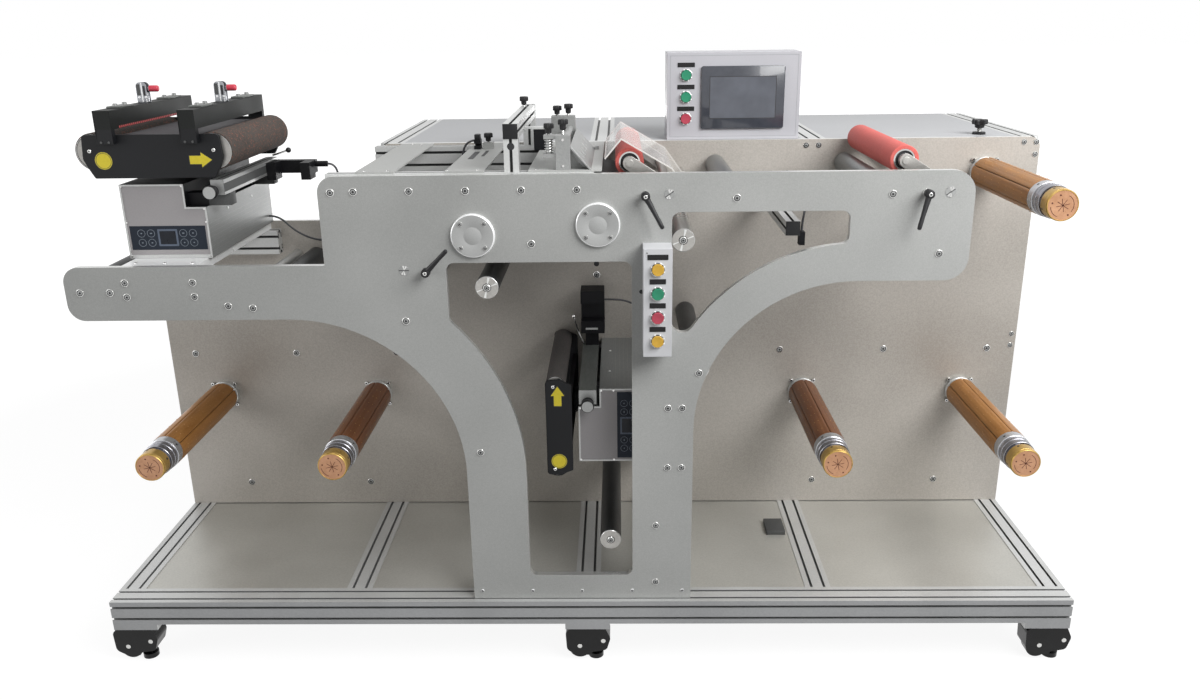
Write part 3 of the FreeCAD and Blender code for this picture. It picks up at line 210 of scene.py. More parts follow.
# Near black bronze for the shaft core, seen only in the gaps between leaves: painted shade.
LEAF_GAP_SHADE = surface("bronze_gap_shade", (58, 34, 18), 0.7, 0.1, grain=300)
GOLD = surface("gold_cap", (186, 152, 84), 0.32, 0.7, tone=10, grain=140, cloud=30)
COPPER = surface("copper_face", (192, 144, 110), 0.4, 0.3, tone=9, grain=260, cloud=40)
ENGRAVED = surface("engraved_line", (92, 50, 34), 0.6, 0.2, grain=400)
PAINT = surface("panel_paint", (204, 205, 208), 0.38, tone=3, cloud=4, bump=0.18, bump_size=1500)
PAINT_GREY = surface("housing_paint", (179, 179, 184), 0.4, tone=3, cloud=4, bump=0.18, bump_size=1500)
PAINT_LINE = surface("panel_seam", (150, 152, 156), 0.5, tone=5)
LABEL = surface("bare_label", (14, 14, 16), 0.55, tone=3, grain=600, shine=0.3)
SLATE = surface("screen_frame", (56, 59, 67), 0.16, tone=4, grain=90, cloud=12, spread=0.04, bump=0.0,
                Coat_Weight=0.5)
SCREEN = surface("screen_glass", (72, 76, 86), 0.12, tone=7, grain=30, cloud=16, spread=0.05, bump=0.0,
                 Coat_Weight=0.7)
BLACK = surface("moulded_black", (24, 24, 26), 0.42, tone=5, bump=0.25, bump_size=1400, shine=0.3)
GLOSS_BLACK = surface("gloss_black", (12, 12, 13), 0.22, tone=5, grain=120, cloud=30, spread=0.1, bump=0.15,
                      bump_size=260, shine=0.3)
ANODISED_BLACK = surface("black_anodised", (12, 13, 16), 0.5, tone=4, grain=420, cloud=8, bump=0.2,
                         shine=0.25)
BEAM_BLACK = surface("black_beam", (21, 23, 22), 0.55, tone=6, grain=380, cloud=7, bump=0.3, shine=0.2)
GUIDE_GREY = surface("guide_side", (130, 132, 131), 0.4, 0.35, grain=300, stretch=(1, 0.2, 3))
GUIDE_FACE = surface("guide_face", (150, 147, 148), 0.5, 0.15, tone=5, grain=600)
GUIDE_RIM = surface("guide_rim", (190, 191, 190), 0.4, 0.4, tone=6, grain=300)
TABLE_DARK = surface("splice_table", (66, 64, 67), 0.75, grain=320, cloud=9, bump=0.3)
KEYPAD = surface("keypad_slate", (30, 36, 46), 0.5, tone=4, shine=0.2)
KEY_LINE = surface("key_outline", (116, 124, 134), 0.5, tone=5)
DEEP = surface("sensor_black", (13, 13, 16), 0.5, tone=4, bump=0.2, shine=0.2)
RAIL_GREY = surface("dark_rail", (98, 101, 98), 0.45, 0.3, tone=9, grain=240, stretch=(1, 0.2, 1))
LCD_FRAME = surface("lcd_frame", (80, 90, 106), 0.5, tone=4)
LCD = surface("lcd_dark", (18, 22, 30), 0.3, tone=6, grain=60, cloud=60, shine=0.25)
CORK = surface("cork_rubber", (60, 53, 48), 0.85, tone=13, grain=170, cloud=16, bump=0.7, bump_size=400,
               fleck=(122, 74, 58), fleck_size=230)
CORK_DARK = surface("cork_dark", (60, 57, 56), 0.8, grain=260, cloud=12, bump=0.6, bump_size=450,
                    fleck=(84, 76, 70), fleck_size=420)
RUBBER_RED = surface("red_rubber", (202, 94, 87), 0.62, tone=9, grain=260, cloud=9, bump=0.35,
                     bump_size=600)
RUBBER = surface("black_rubber", (46, 48, 50), 0.6, tone=7, grain=300, cloud=10, bump=0.3)
ROLLER = surface("hard_coat", (52, 54, 55), 0.4, 0.5, grain=90, cloud=10, stretch=(4, 1, 4))
ROLLER_GREY = surface("grey_roller", (118, 120, 120), 0.34, 0.6, tone=9, grain=90, stretch=(4, 1, 4))
GRIP = surface("red_grip", (204, 62, 80), 0.42, tone=9, grain=120, bump=0.2, bump_size=500)
CAP_GREEN = surface("cap_green", (34, 132, 98), 0.34, tone=7, grain=160)
CAP_RED = surface("cap_red", (178, 66, 84), 0.34, tone=7, grain=160)
CAP_YELLOW = surface("cap_yellow", (208, 164, 58), 0.34, grain=160)
YELLOW = surface("yellow_sticker", (218, 200, 52), 0.45, tone=6, grain=300)
STICKER_EDGE = surface("sticker_edge", (40, 40, 30), 0.5, tone=4, grain=400)
CABLE = surface("cable_jacket", (62, 63, 66), 0.5, tone=6, grain=300)
STRIPE = surface("red_stripe", (176, 78, 78), 0.5, tone=10, grain=200)
CLEAR = surface("clear_acrylic", (228, 226, 222), 0.08, tone=4, grain=20, cloud=9, spread=0.03, bump=0.02,
                bump_size=12, shine=0.7, Transmission_Weight=0.0, Alpha=0.34)
CLEAR_EDGE = surface("acrylic_edge", (236, 234, 230), 0.3, tone=4, grain=90, Alpha=0.85)


# Dressing the CAD nodes

def paint(node, default, *rules):
    """Materials for one CAD node: each face takes the first rule that holds for its middle and normal."""
    mesh = NODES[node].data
    mesh.materials.clear()
    mesh.materials.append(default)
    for material, _ in rules:
        mesh.materials.append(material)
    for face in mesh.polygons:
        x, y, z = face.center / MM
        spot = Vector((x, y + ORIGIN_Y, z))
        face.material_index = 0
        for i, (_, test) in enumerate(rules):
            if test(spot, face.normal):
                face.material_index = i + 1
                break


def soften(width, *nodes, angle=40):
    """Small rounded edges on CAD nodes, by modifiers alone."""
    for node in nodes:
        new = NODES[node].modifiers.new
        weld = new("weld", "WELD")
        weld.merge_threshold = 1e-6
        flats = new("flats", "DECIMATE")
        flats.decimate_type = "DISSOLVE"
        flats.angle_limit = radians(0.3)
        flats.delimit = {"MATERIAL"}
        bevel = new("edges", "BEVEL")
        bevel.width = width * MM
        bevel.segments = 2
        bevel.limit_method = "ANGLE"
        bevel.angle_limit = radians(angle)
        bevel.use_clamp_overlap = True
        new("normals", "WEIGHTED_NORMAL").keep_sharp = True


def paint_slot_shade(node, material):
    """Painted shade inside each profile slot: faces that see their own mesh to both sides within a slot's
    width take a dark material.
    """
    mesh = NODES[node].data
    mesh.materials.append(material)
    number = len(mesh.materials) - 1
    tree = BVHTree.FromPolygons([v.co for v in mesh.vertices], [tuple(p.vertices) for p in mesh.polygons])
    axes = [Vector((1, 0, 0)), Vector((0, 1, 0)), Vector((0, 0, 1))]
    for face in mesh.polygons:
        start = face.center + face.normal * OFF_FACE
        tilted = [[face.normal * 0.5 + axis * side for side in (0.87, -0.87)] for axis in axes
                  if abs(face.normal.dot(axis)) < 0.5]
        rays = [[face.normal]] + tilted
        if any(all(tree.ray_cast(start, ray, SLOT_REACH)[0] for ray in group) for group in rays):
            face.material_index = number


# Mesh building

class Piece:
    """Solid forms in millimetres, gathered into one object with several materials."""

    def __init__(self, name, place=at):
        self.name = name
        self.place = place
        self.bm = bmesh.new()
        self.materials = []

    def absorb(self, part, material, bevel=0.0):
        """Add a form, with its edges rounded and its faces in one material."""
        bmesh.ops.recalc_face_normals(part, faces=part.faces)
        if bevel:
            sharp = [e for e in part.edges if e.is_manifold and e.calc_face_angle(0) > 0.6]
            bmesh.ops.bevel(part, geom=sharp, offset=bevel, segments=2, profile=0.5,
                            affect="EDGES", clamp_overlap=True)
        if material not in self.materials:
            self.materials.append(material)
        for face in part.faces:
            face.material_index = self.materials.index(material)
            face.smooth = True
        mesh = bpy.data.meshes.new("part")
        part.to_mesh(mesh)
        part.free()
        self.bm.from_mesh(mesh)
        bpy.data.meshes.remove(mesh)

    def box(self, material, x0, x1, y0, y1, z0, z1, bevel=0.0):
        part = bmesh.new()
        middle = Vector(((x0 + x1) / 2, (y0 + y1) / 2, (z0 + z1) / 2))
        size = Matrix.Diagonal((x1 - x0, y1 - y0, z1 - z0, 1))
        bmesh.ops.create_cube(part, size=1, matrix=Matrix.Translation(middle) @ size)
        self.absorb(part, material, bevel)

    def prism(self, material, outline, y0, y1, bevel=0.0):
        """A plate whose outline is a list of (x, z) points, between two depths."""
        part = bmesh.new()
        near = [part.verts.new((x, y0, z)) for x, z in outline]
        far = [part.verts.new((x, y1, z)) for x, z in outline]
        part.faces.new(near)
        part.faces.new(far[::-1])
        for i in range(len(outline)):
            j = (i + 1) % len(outline)
            part.faces.new((near[i], far[i], far[j], near[j]))
        self.absorb(part, material, bevel)

    def lathe(self, spans, a, b, axis="y", steps=48, lobe=None):
        """Turned forms. spans is a list of (material, profile); a profile, of (radius, along)."""
        for material, profile in spans:
            part = bmesh.new()
            rings = []
            for radius, along in profile:
                ring = []
                for i in range(steps if radius > 0 else 1):
                    turn = 2 * pi * i / steps
                    point = list(polar(a, b, radius * (lobe(turn) if lobe else 1), turn))
                    point.insert("xyz".index(axis), along)
                    ring.append(part.verts.new(point))
                rings.append(ring)
            for low, high in zip(rings, rings[1:]):
                for i in range(steps):
                    j = (i + 1) % steps
                    corners = [low[i % len(low)], low[j % len(low)], high[j % len(high)],
                               high[i % len(high)]]
                    part.faces.new(list(dict.fromkeys(corners)))
            self.absorb(part, material)

    def done(self, body="machine", replaces=(), sharp=32):
        for vert in self.bm.verts:
            vert.co = self.place(*vert.co)
        mesh = bpy.data.meshes.new(self.name)
        bmesh.ops.recalc_face_normals(self.bm, faces=self.bm.faces)
        self.bm.to_mesh(mesh)
        self.bm.free()
        for material in self.materials:
            mesh.materials.append(material)
        mesh.set_sharp_from_angle(angle=radians(sharp))
        obj = add(self.name, mesh)
        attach(obj, body)
        if replaces:
            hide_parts(*replaces)


def rounded(x0, x1, z0, z1, radius, steps=5):
    """The outline of a rectangle with round corners."""
    corners = ((x1 - radius, z1 - radius, 0), (x0 + radius, z1 - radius, 90),
               (x0 + radius, z0 + radius, 180), (x1 - radius, z0 + radius, 270))
    return [polar(cx, cz, radius, radians(start + 90 * i / steps))
            for cx, cz, start in corners for i in range(steps + 1)]


def screw_head(piece, x, z, face, r, stand, steel=STEEL, bowl=CREVICE_SHADE):
    """A socket screw sunk in a bright ring, standing on a face that looks at the operator. Its countersink
    dish and hex socket are dark materials: painted shade.
    """
    y = face - stand
    rim = [(r, face), (r, y + 0.3), (r * 0.95, y), (r * 0.84, y)]
    dish = [(r * 0.84, y), (r * 0.76, face - 0.1), (r * 0.62, face - 0.1)]
    button = [(r * 0.62, face - 0.1), (r * 0.6, y + 0.35), (r * 0.5, y + 0.05), (r * 0.32, y)]
    piece.lathe([(steel, rim), (bowl, dish), (GREY_METAL, button)], x, z, steps=24)
    piece.lathe([(SOCKET, [(r * 0.36, y + 0.02), (0, y + 0.02)])], x, z, steps=6)


def streaks(piece, x, z, inner, outer, y, turns, half, material):
    """Thin wedges of another tone on a turned end face: painted reflection streaks."""
    for turn in turns:
        wedge = ((inner, -half), (outer, -half), (outer, half), (inner, half))
        outline = [polar(x, z, r, radians(turn + side)) for r, side in wedge]
        piece.prism(material, outline, y - 0.12, y + 0.08)


def rod(piece, material, x, z, r, y0, y1, cut=0.6, steps=32):
    """A round bar along Y with chamfered ends."""
    profile = [(0, y0), (r - cut, y0), (r, y0 + cut), (r, y1 - cut), (r - cut, y1), (0, y1)]
    piece.lathe([(material, profile)], x, z, steps=steps)


def loft(piece, material, rings):
    """A skin through rings of points, closed at both ends."""
    part = bmesh.new()
    loops = [[part.verts.new(point) for point in ring] for ring in rings]
    for low, high in zip(loops, loops[1:]):
        for i in range(len(low)):
            j = (i + 1) % len(low)
            part.faces.new((low[i], low[j], high[j], high[i]))
    part.faces.new(loops[0])
    part.faces.new(loops[-1])
    piece.absorb(part, material)


def oval(middle, across, up, sides):
    """Points round an oval that two vectors span."""
    return [middle + across * cos(2 * pi * k / sides) + up * sin(2 * pi * k / sides) for k in range(sides)]


def wire(piece, points, radius):
    """A thin steel bar through a row of points."""
    points = [Vector(point) for point in points]
    rings = []
    for i, here in enumerate(points):
        before, after = points[max(i - 1, 0)], points[min(i + 1, len(points) - 1)]
        along = (after - before).normalized()
        side = along.cross(Vector((0, 0, 1))).normalized()
        rings.append(oval(here, side * radius, side.cross(along) * radius, 8))
    loft(piece, STEEL, rings)


def ball(piece, material, x, y, z, radius):
    profile = [(radius * sin(pi * i / 10), z + radius * cos(pi * i / 10)) for i in range(11)]
    profile[0], profile[-1] = (0, z + radius), (0, z - radius)
    piece.lathe([(material, profile)], x, y, axis="z", steps=20)


# Plates and frame

TOP_SCREWS = ((TABLE_TOP, ((-270, 38), (-207, 38), (-87, 36), (-26, 38), (-440, 38), (-392, 38))),
              (ARM_TOP, ((-949, 50), (-887, 50), (-828, 50))),
              (TABLE_TOP, ((-405, 470), (-430, 490))))


def dress_frame():
    raised = lambda p, n: p.z > TABLE_TOP + 0.5
    # The base rails' front faces take the darker copy of the profile finish: painted shade.
    paint("profile_frame", PROFILE, (RAIL_FRONT_SHADED, lambda p, n: n.y < -0.5 and p.z < RAIL_TOP))
    paint("small_profiles", PROFILE)
    # The insides of the profile slots are painted dark: painted shade.
    paint_slot_shade("profile_frame", SLOT_SHADE)
    paint_slot_shade("small_profiles", CREVICE_SHADE)
    edge = (EDGE, lambda p, n: abs(n.y) < 0.7)
    paint("front_plate", PLATE, edge)
    paint("back_plate", BACK, edge)
    paint("infill_panels", SHEET, (FLOOR, lambda p, n: p.z < RAIL_TOP and n.z > 0.5))
    # Deck plates on the infeed arm are near white: a painted reflection of their polish.
    paint("deck_plates", PLATE, (BRIGHT, lambda p, n: p.x < LEFT_BAY),
          (GREY_METAL, lambda p, n: raised(p, n) and p.x > -80 and p.y > 20), (STEEL, raised))
    paint("drive_motors", BLACK, (GREY_METAL, lambda p, n: p.y < BACK_Y1 + 13))
    soften(1.0, "front_plate")
    soften(0.8, "back_plate")
    soften(0.5, "deck_plates", "profile_frame")
    piece = Piece("plate_holes")
    # Dark discs in the plates' holes and dark strips in the table's slots: painted shade.
    for x, z, radius, y in ((-745, 899, 5, BACK_Y0), (22, 861, 7, BACK_Y0), (126, 919, 4.5, FRONT_Y0),
                            (-137, 1220, 7.5, FRONT_Y1)):
        piece.lathe([(SOCKET, [(radius, y + 0.1), (radius, y - 0.08), (0, y - 0.1)])], x, z, steps=24)
    for x0, x1, y0, y1 in ((-252, -240, 205, 330), (-228, -221, 250, 345)):
        piece.box(SOCKET, x0, x1, y0, y1, TABLE_TOP - 0.1, TABLE_TOP + 0.4)
    # The table screws' hex sockets are dark: painted shade.
    for z, places in TOP_SCREWS:
        for x, y in places:
            piece.lathe([(STEEL, [(3.6, z), (3.4, z + 1.2), (1.9, z + 1.4)]),
                         (SOCKET, [(1.9, z + 1.4), (0, z + 0.9)])], x, y, axis="z", steps=16)
    piece.done()


# Rods from plate to plate, axles that both plates hold, axles that stand free, and screws
TIES = ((-996, 926), (-748, 895), (-373, 859), (159, 370), (159, 224), (738, 995), (-101, 1023))
BRIDGED = ((320, 1114), (-696, 890), (-1060, 926), (250, 737), (638, 1116))
CANTILEVER = (("idler_window", -200, 926, 30), ("idler_low", 56, 308, 60), ("idler_steel", 214, 1022, 40))
FRONT_SCREWS = ((-508, 1133), (-461, 1134), (-347, 1134), (-232, 1134), (-118, 1134), (-5, 1134),
                (634, 1119), (-961, 947), (-961, 916), (-817, 947), (-817, 916), (-230, 553), (184, 514),
                (215, 514), (184, 656), (215, 656))
FOOT_SCREWS = (-243, -126, -11, 105, 221)
BACK_SCREWS = ((-1054, 624), (-783, 624), (-515, 624), (503, 624), (776, 624), (1047, 624), (-950, 244),
               (-616, 244), (608, 244), (942, 244), (22, 832))
BACK_SMALL = ((1107, 663), (1107, 632), (1080, 1159), (1110, 1159), (545, 1157), (576, 1157),
              (1110, 1129))


def fasteners():
    piece = Piece("plate_screws")
    for _, x, z, front in CANTILEVER:
        rod(piece, STEEL, x, z, AXLE_RADIUS, front - 1, BACK_Y0)
        screw_head(piece, x, z, front - 1, 7, 1.5)
    for x, z in BRIDGED:
        rod(piece, STEEL, x, z, AXLE_RADIUS, FRONT_Y1, BACK_Y0)
    rod(piece, STEEL, 236, 1104, 4, FRONT_Y1, BACK_Y0)
    for x, z in TIES:
        rod(piece, TURNED, x, z, 12.5, FRONT_Y1, BACK_Y0)
    for x, z in TIES + BRIDGED[:4] + FRONT_SCREWS:
        screw_head(piece, x, z, FRONT_Y0, 8, 1.5)
    for x in FOOT_SCREWS:
        screw_head(piece, x, RAIL_TOP + 21, FRONT_Y0, 3.8, 1.5, BRIGHT)
    for places, radius, stand in ((BACK_SCREWS, 9, 1.5), (BACK_SMALL, 7, 1.2)):
        for x, z in places:
            screw_head(piece, x, z, BACK_Y0, radius, stand, STEEL, SOCKET)
    post = [(0, 4), (6.2, 4), (7, 4.8), (7, 9), (5.6, 9.6), (5.6, 11), (7, 11.6), (7, 14), (0, 14)]
    for _, x, z, _ in LEVERS:
        piece.lathe([(STEEL, post)], x, z, steps=32)
    rod(piece, GREY_METAL, -369, 969, 11, 13.4, 14, 0.2)
    slotted_end(piece, -369, 969, 0)
    piece.done(replaces=["plate_fasteners"])


def slotted_end(piece, x, z, turn):
    """The turned face and screwdriver slot of a shaft that ends flush in the plate, with painted reflection
    streaks on the face and painted shade in the slot.
    """
    streaks(piece, x, z, 0.5, 10.2, 13.4, (60, 95, 240, 275), 12, STEEL)
    streaks(piece, x, z, 0.5, 10.2, 13.4, (150, 330), 16, GREY_METAL)
    piece.prism(CREVICE_SHADE, bar(x, z, -10.5, 10.5, 1, radians(turn)), 13.22, 13.5)


def shaft_roots():
    piece = Piece("shaft_collars")
    collar = [(15.1, 480.4), (35.4, 480.4), (36.6, 481.6), (37, 487), (36, 487.6), (36, 490), (37, 490.6),
              (37, BACK_Y0), (15.1, BACK_Y0)]
    for x, z in SHAFTS.values():
        piece.lathe([(TURNED, collar)], x, z)
        for i in range(4):
            sx, sz = polar(x, z, 42, radians(45 + 90 * i))
            rod(piece, STEEL, sx, sz, 4.5, 495, BACK_Y0, 0.8, 20)
            # A dark hex socket in each bolt: painted shade.
            piece.lathe([(SOCKET, [(2.6, 494.98), (0, 494.98)])], sx, sz, steps=6)
    cover = [(0, 6), (18, 6), (18.3, 6.15), (18.9, 6.15), (19.2, 6), (43.2, 6)]
    rim = [(43.2, 6), (44.6, 6.6), (45.6, 7.8), (46, 9.4), (46, FRONT_Y0)]
    for x, z in HUBS:
        piece.lathe([(COVER, cover), (BRIGHT, rim)], x, z, steps=72)
        for sx in (-25, 25):
            for sz in (-25, 25):
                screw_head(piece, x + sx, z + sz, 6, 5, 1.5)
    piece.done(replaces=["shaft_flanges"])


# Air shafts

LEAF_RADIUS = 38.0
LEAF_FRONT, LEAF_BACK = 130.0, 479.7
LEAF_TURN = 60
CAP_FRONT = 36.8
LINE_Y = (36.6, 37)


def leaf_outline(x, z, start, end):
    """The section of one leaf: rounded ends, two fine grooves along its back."""
    steps = 18
    turns = [radians(start + (end - start) * (i / steps)) for i in range(steps + 1)]
    special = {0: 37.2, steps: 37.2, 5: 37.5, 13: 37.5}
    points = [polar(x, z, special.get(i, LEAF_RADIUS), turn) for i, turn in enumerate(turns)]
    return points + [polar(x, z, 31.2, turn) for turn in turns[::-3]]


def side_holes(piece, x, z, radius, y, size, first):
    """Dark discs round a turned surface, four to a turn: painted shade where holes are."""
    for i in range(4):
        turn = radians(first + 90 * i)
        c, s = cos(turn), sin(turn)
        part = bmesh.new()
        rim = []
        for k in range(12):
            across, along = polar(0, 0, size, 2 * pi * k / 12)
            rim.append(part.verts.new((x + (radius + 0.08) * c - across * s, y + along,
                                       z + (radius + 0.08) * s + across * c)))
        part.faces.new(rim)
        piece.absorb(part, SOCKET)


def air_shaft(node, x, z):
    piece = Piece(node + "_dressed")
    # The two middle shafts take the darker copy of the leaf bronze: painted shade.
    leaf = LEAF_SHADED if node in ("air_shaft_left", "air_shaft_right") else LEAF
    core = [(0, LEAF_FRONT), (31, LEAF_FRONT), (31, LEAF_BACK), (15, LEAF_BACK), (15, 558), (0, 558)]
    # The core between the leaves is near black: painted shade in the gaps.
    piece.lathe([(LEAF_GAP_SHADE, core[:3]), (STEEL, core[2:])], x, z)
    half_gap = degrees(0.8 / LEAF_RADIUS)
    for start in range(-30, -390, -LEAF_TURN):
        outline = leaf_outline(x, z, start + half_gap, start + LEAF_TURN - half_gap)
        piece.prism(leaf, outline, LEAF_FRONT, LEAF_BACK)
        middle = radians(start + LEAF_TURN / 2)
        for y in range(160, 470, 45):
            for shift in (-0.13, 0.13):
                px, pz = polar(x, z, LEAF_RADIUS + 0.05, middle + shift)
                piece.box(LEAF_LINE, px - 0.7, px + 0.7, y - 0.9, y + 0.9, pz - 0.7, pz + 0.7)
    ring = [(31, 130), (36.9, 130), (37.5, 129.4), (37.5, 106.6), (36.9, 106), (36.2, 105.8)]
    neck = [(36.2, 105.8), (36.5, 105.2), (36.3, 91.4), (35.5, 90.6), (35.5, 74.8), (34.7, 74), (31, 74),
            (31, 68), (24, 68)]
    piece.lathe([(NOSE, ring), (NOSE_DARK, neck)], x, z, steps=64)
    side_holes(piece, x, z, 37.5, 118, 3.0, 35)
    side_holes(piece, x, z, 33.5, 61, 2.8, 20)
    cap = [(24, 68), (32.9, 68), (33.5, 67.4), (33.5, 43), (33, 42.6), (33, 42), (33.5, 41.6), (33.5, 38.6),
           (32.9, 37), (31.9, 36), (30.9, 36), (30.5, CAP_FRONT)]
    face = [(30.5, CAP_FRONT), (1.6, CAP_FRONT), (0, 36.9)]
    piece.lathe([(GOLD, cap), (COPPER, face)], x, z, steps=64)
    for i in range(8):
        piece.prism(ENGRAVED, bar(x, z, 0, 14, 0.6, radians(45 * i + 12)), *LINE_Y)
    for start, end, radius in ((-35, 62, 22.5), (188, 248, 25)):
        turns = [radians(start + (end - start) * k / 16) for k in range(17)]
        arc = [polar(x, z, radius + w, t) for w, line in ((0.6, turns), (-0.6, turns[::-1])) for t in line]
        piece.prism(ENGRAVED, arc, *LINE_Y)
    dot = [(1.9, 36.7), (1.9, 36.6), (0, 36.6)]
    for turn, r in ((108, 22), (-58, 23.5), (168, 22.5)):
        piece.lathe([(ENGRAVED, dot)], *polar(x, z, r, radians(turn)), steps=16)
    piece.done(body=node, replaces=[node])


# Rollers

def idlers():
    r, y1 = 24.5, 502.7
    for node, x, z, y0 in CANTILEVER:
        piece = Piece(node + "_dressed")
        steel = node == "idler_steel"
        ends = [(END_FACE, [(r - 1, y0), (BORE, y0)]), (END_FACE, [(r - 1, y1), (BORE, y1)])]
        rims = [(TURNED, [(r, y0 + 1), (r - 1, y0)]), (TURNED, [(r, y1 - 1), (r - 1, y1)])]
        skin = (TURNED if steel else ROLLER, [(r, y0 + 1), (r, y1 - 1)])
        piece.lathe([skin] + rims + ends + [(END_FACE, [(BORE, y0), (BORE, y1)])], x, z, steps=64)
        # Bright and dull wedges on the end faces are painted reflection streaks, and the dark ring round the
        # bore is painted shade.
        if node != "idler_low":
            for turns, half, tone in (((78, 258), 7, EDGE), ((22, 202), 4, EDGE),
                                      ((50, 118, 230, 298), 4, END_FACE)):
                streaks(piece, x, z, 9, 23, y0, turns, half, tone)
        piece.lathe([(CREVICE_SHADE, [(9.6, y0 - 0.05), (9.4, y0 - 0.1), (8.1, y0 - 0.1)])], x, z, steps=32)
        piece.done(body=node, replaces=[node])
    end_face = (TURNED, lambda p, n: abs(n.y) > 0.5)
    for node, skin in (("column", ROLLER), ("bed", ROLLER), ("bed_end", ROLLER), ("upper", ROLLER_GREY),
                       ("right_nip", ROLLER_GREY)):
        paint("idler_" + node, skin, end_face)
    for node, skin in (("press_drum", TURNED), ("traction_drum", RUBBER)):
        paint(node, skin, end_face, (STEEL, lambda p, n: p.y > 480 or p.y < 40))


def nips():
    y0, y1 = 80.0, 480.0
    sleeve = [(22, y0 + 1), (22.4, y0), (28.6, y0), (30, y0 + 1.4), (30, y1 - 1.4), (28.6, y1), (22.4, y1),
              (22, y1 - 1)]
    for side, x, z in NIPS:
        arm, roller = "nip_arm_" + side, "nip_roller_" + side
        piece = Piece(roller + "_dressed")
        piece.lathe([(RUBBER_RED, sleeve)], x, z, steps=64)
        for y, s in ((y0, 1), (y1, -1)):
            hub = [(22, y + s), (19, y + s * 0.6), (18.6, y + s * 3)]
            seal = [(18.6, y + s * 3), (12.5, y + s * 3)]
            inner = [(12.5, y + s * 3), (12.2, y + s * 1.4), (BORE, y + s * 1.4)]
            piece.lathe([(STEEL, hub), (SOCKET, seal), (TURNED, inner)], x, z)
        piece.lathe([(STEEL, [(BORE, y0 + 1.4), (BORE, y1 - 1.4)])], x, z)
        piece.done(body=roller, replaces=[roller])
        paint(arm, END_FACE, (GREY_METAL, lambda p, n: p.y < 20),
              (EDGE, lambda p, n: abs(n.y) < 0.5 and p.y < 80))
        soften(0.8, arm)
        end = Piece("nip_pivot_end_" + side)
        slotted_end(end, x + 80, z - 56, 35)
        end.done(body=arm)
    paint("nip_cover", CLEAR, (CLEAR_EDGE, lambda p, n: abs(n.y) > 0.7),
          (CLEAR_EDGE, lambda p, n: p.z < 1192 and p.x < 60 and n.z < -0.3))


def levers():
    hub = [(0, -16), (3.6, -16), (7.4, -16), (9, -14.4), (9, 2.6), (7.6, 4), (0, 4)]
    # The cap screw's hex socket is dark: painted shade.
    cap = [(STEEL, [(4, -15.9), (4, -17.2), (3.6, -17.5), (2, -17.5)]), (SOCKET, [(2, -17.5), (0, -17.2)])]
    lean = radians(15)
    for node, x, z, angle in LEVERS:
        piece = Piece(node + "_dressed")
        piece.lathe([(BLACK, hub)], x, z)
        piece.lathe(cap, x, z, steps=24)
        c, s = polar(0, 0, 1, radians(angle))
        along = Vector((c * cos(lean), -sin(lean), s * cos(lean)))
        across = Vector((-s, 0, c))
        outward = along.cross(across)
        loft(piece, BLACK, [oval(Vector((x, -8, z)) + along * share, across * wide, outward * deep, 20)
                            for share, wide, deep in ((3, 6.4, 6.0), (16, 5.8, 5.2), (44, 4.5, 4.2),
                                                      (64, 4.6, 4.2), (72, 4.3, 3.9), (74, 2.4, 2.2))])
        piece.done(body=node, replaces=[node], sharp=50)


# Panels

HMI_FRONT = 520.0
BUTTON_FRONT = -46.0
HMI_X = 247.0
HMI_BUTTONS = [(HMI_X, TABLE_TOP + 51 + 52 * i) for i in range(3)]
COLUMN_BUTTONS = [(158.0, 981.5 - 50.5 * i) for i in range(4)]


def push_button(node, x, z, face, colour):
    """A coloured cap with eight shallow notches round its edge."""
    piece = Piece(node + "_dressed")
    front = face - 9
    cap = [(0, front + 0.6), (8, front + 0.4), (11.6, front), (12.5, front + 1.2), (12.55, front + 4)]
    piece.lathe([(colour, cap)], x, z, steps=96, lobe=lambda turn: 1 - 0.055 * max(0.0, cos(8 * turn)) ** 3)
    piece.lathe([(BLACK, [(12.55, front + 4), (12.55, face + 18), (0, face + 18)])], x, z)
    piece.done(body=node, replaces=[node])


def bezel_ring(piece, x, z, face):
    """A grey ring with eight bright beads, round a push button."""
    ring = [(12.95, face), (12.95, face - 2.2), (13.4, face - 2.6), (14.1, face - 2.4), (14.4, face - 1.8),
            (14.5, face)]
    bead = [(2, face - 1.6), (1.8, face - 2.6), (1.1, face - 3.1), (0, face - 3.2)]
    piece.lathe([(GREY_METAL, ring)], x, z, steps=64)
    for i in range(8):
        turn = radians(22.5 + 45 * i)
        piece.lathe([(BRIGHT, bead)], x + 13.9 * cos(turn), z + 13.7 * sin(turn), steps=10)


def label(piece, x, z, face, half):
    """A bare label plate above a button."""
    piece.prism(LABEL, rounded(x - half, x + half, z - 5.4, z + 5.4, 0.8, 2), face - 0.8, face)


def seam(piece, material, width, x0, x1, y0, y1, z0, z1):
    """A fine line drawn round a face, as of a door or a screen."""
    for a, b, c, d in ((x0, x1, z0, z0 + width), (x0, x1, z1 - width, z1), (x0, x0 + width, z0, z1),
                       (x1 - width, x1, z0, z1)):
        piece.box(material, a, b, y0, y1, c, d)


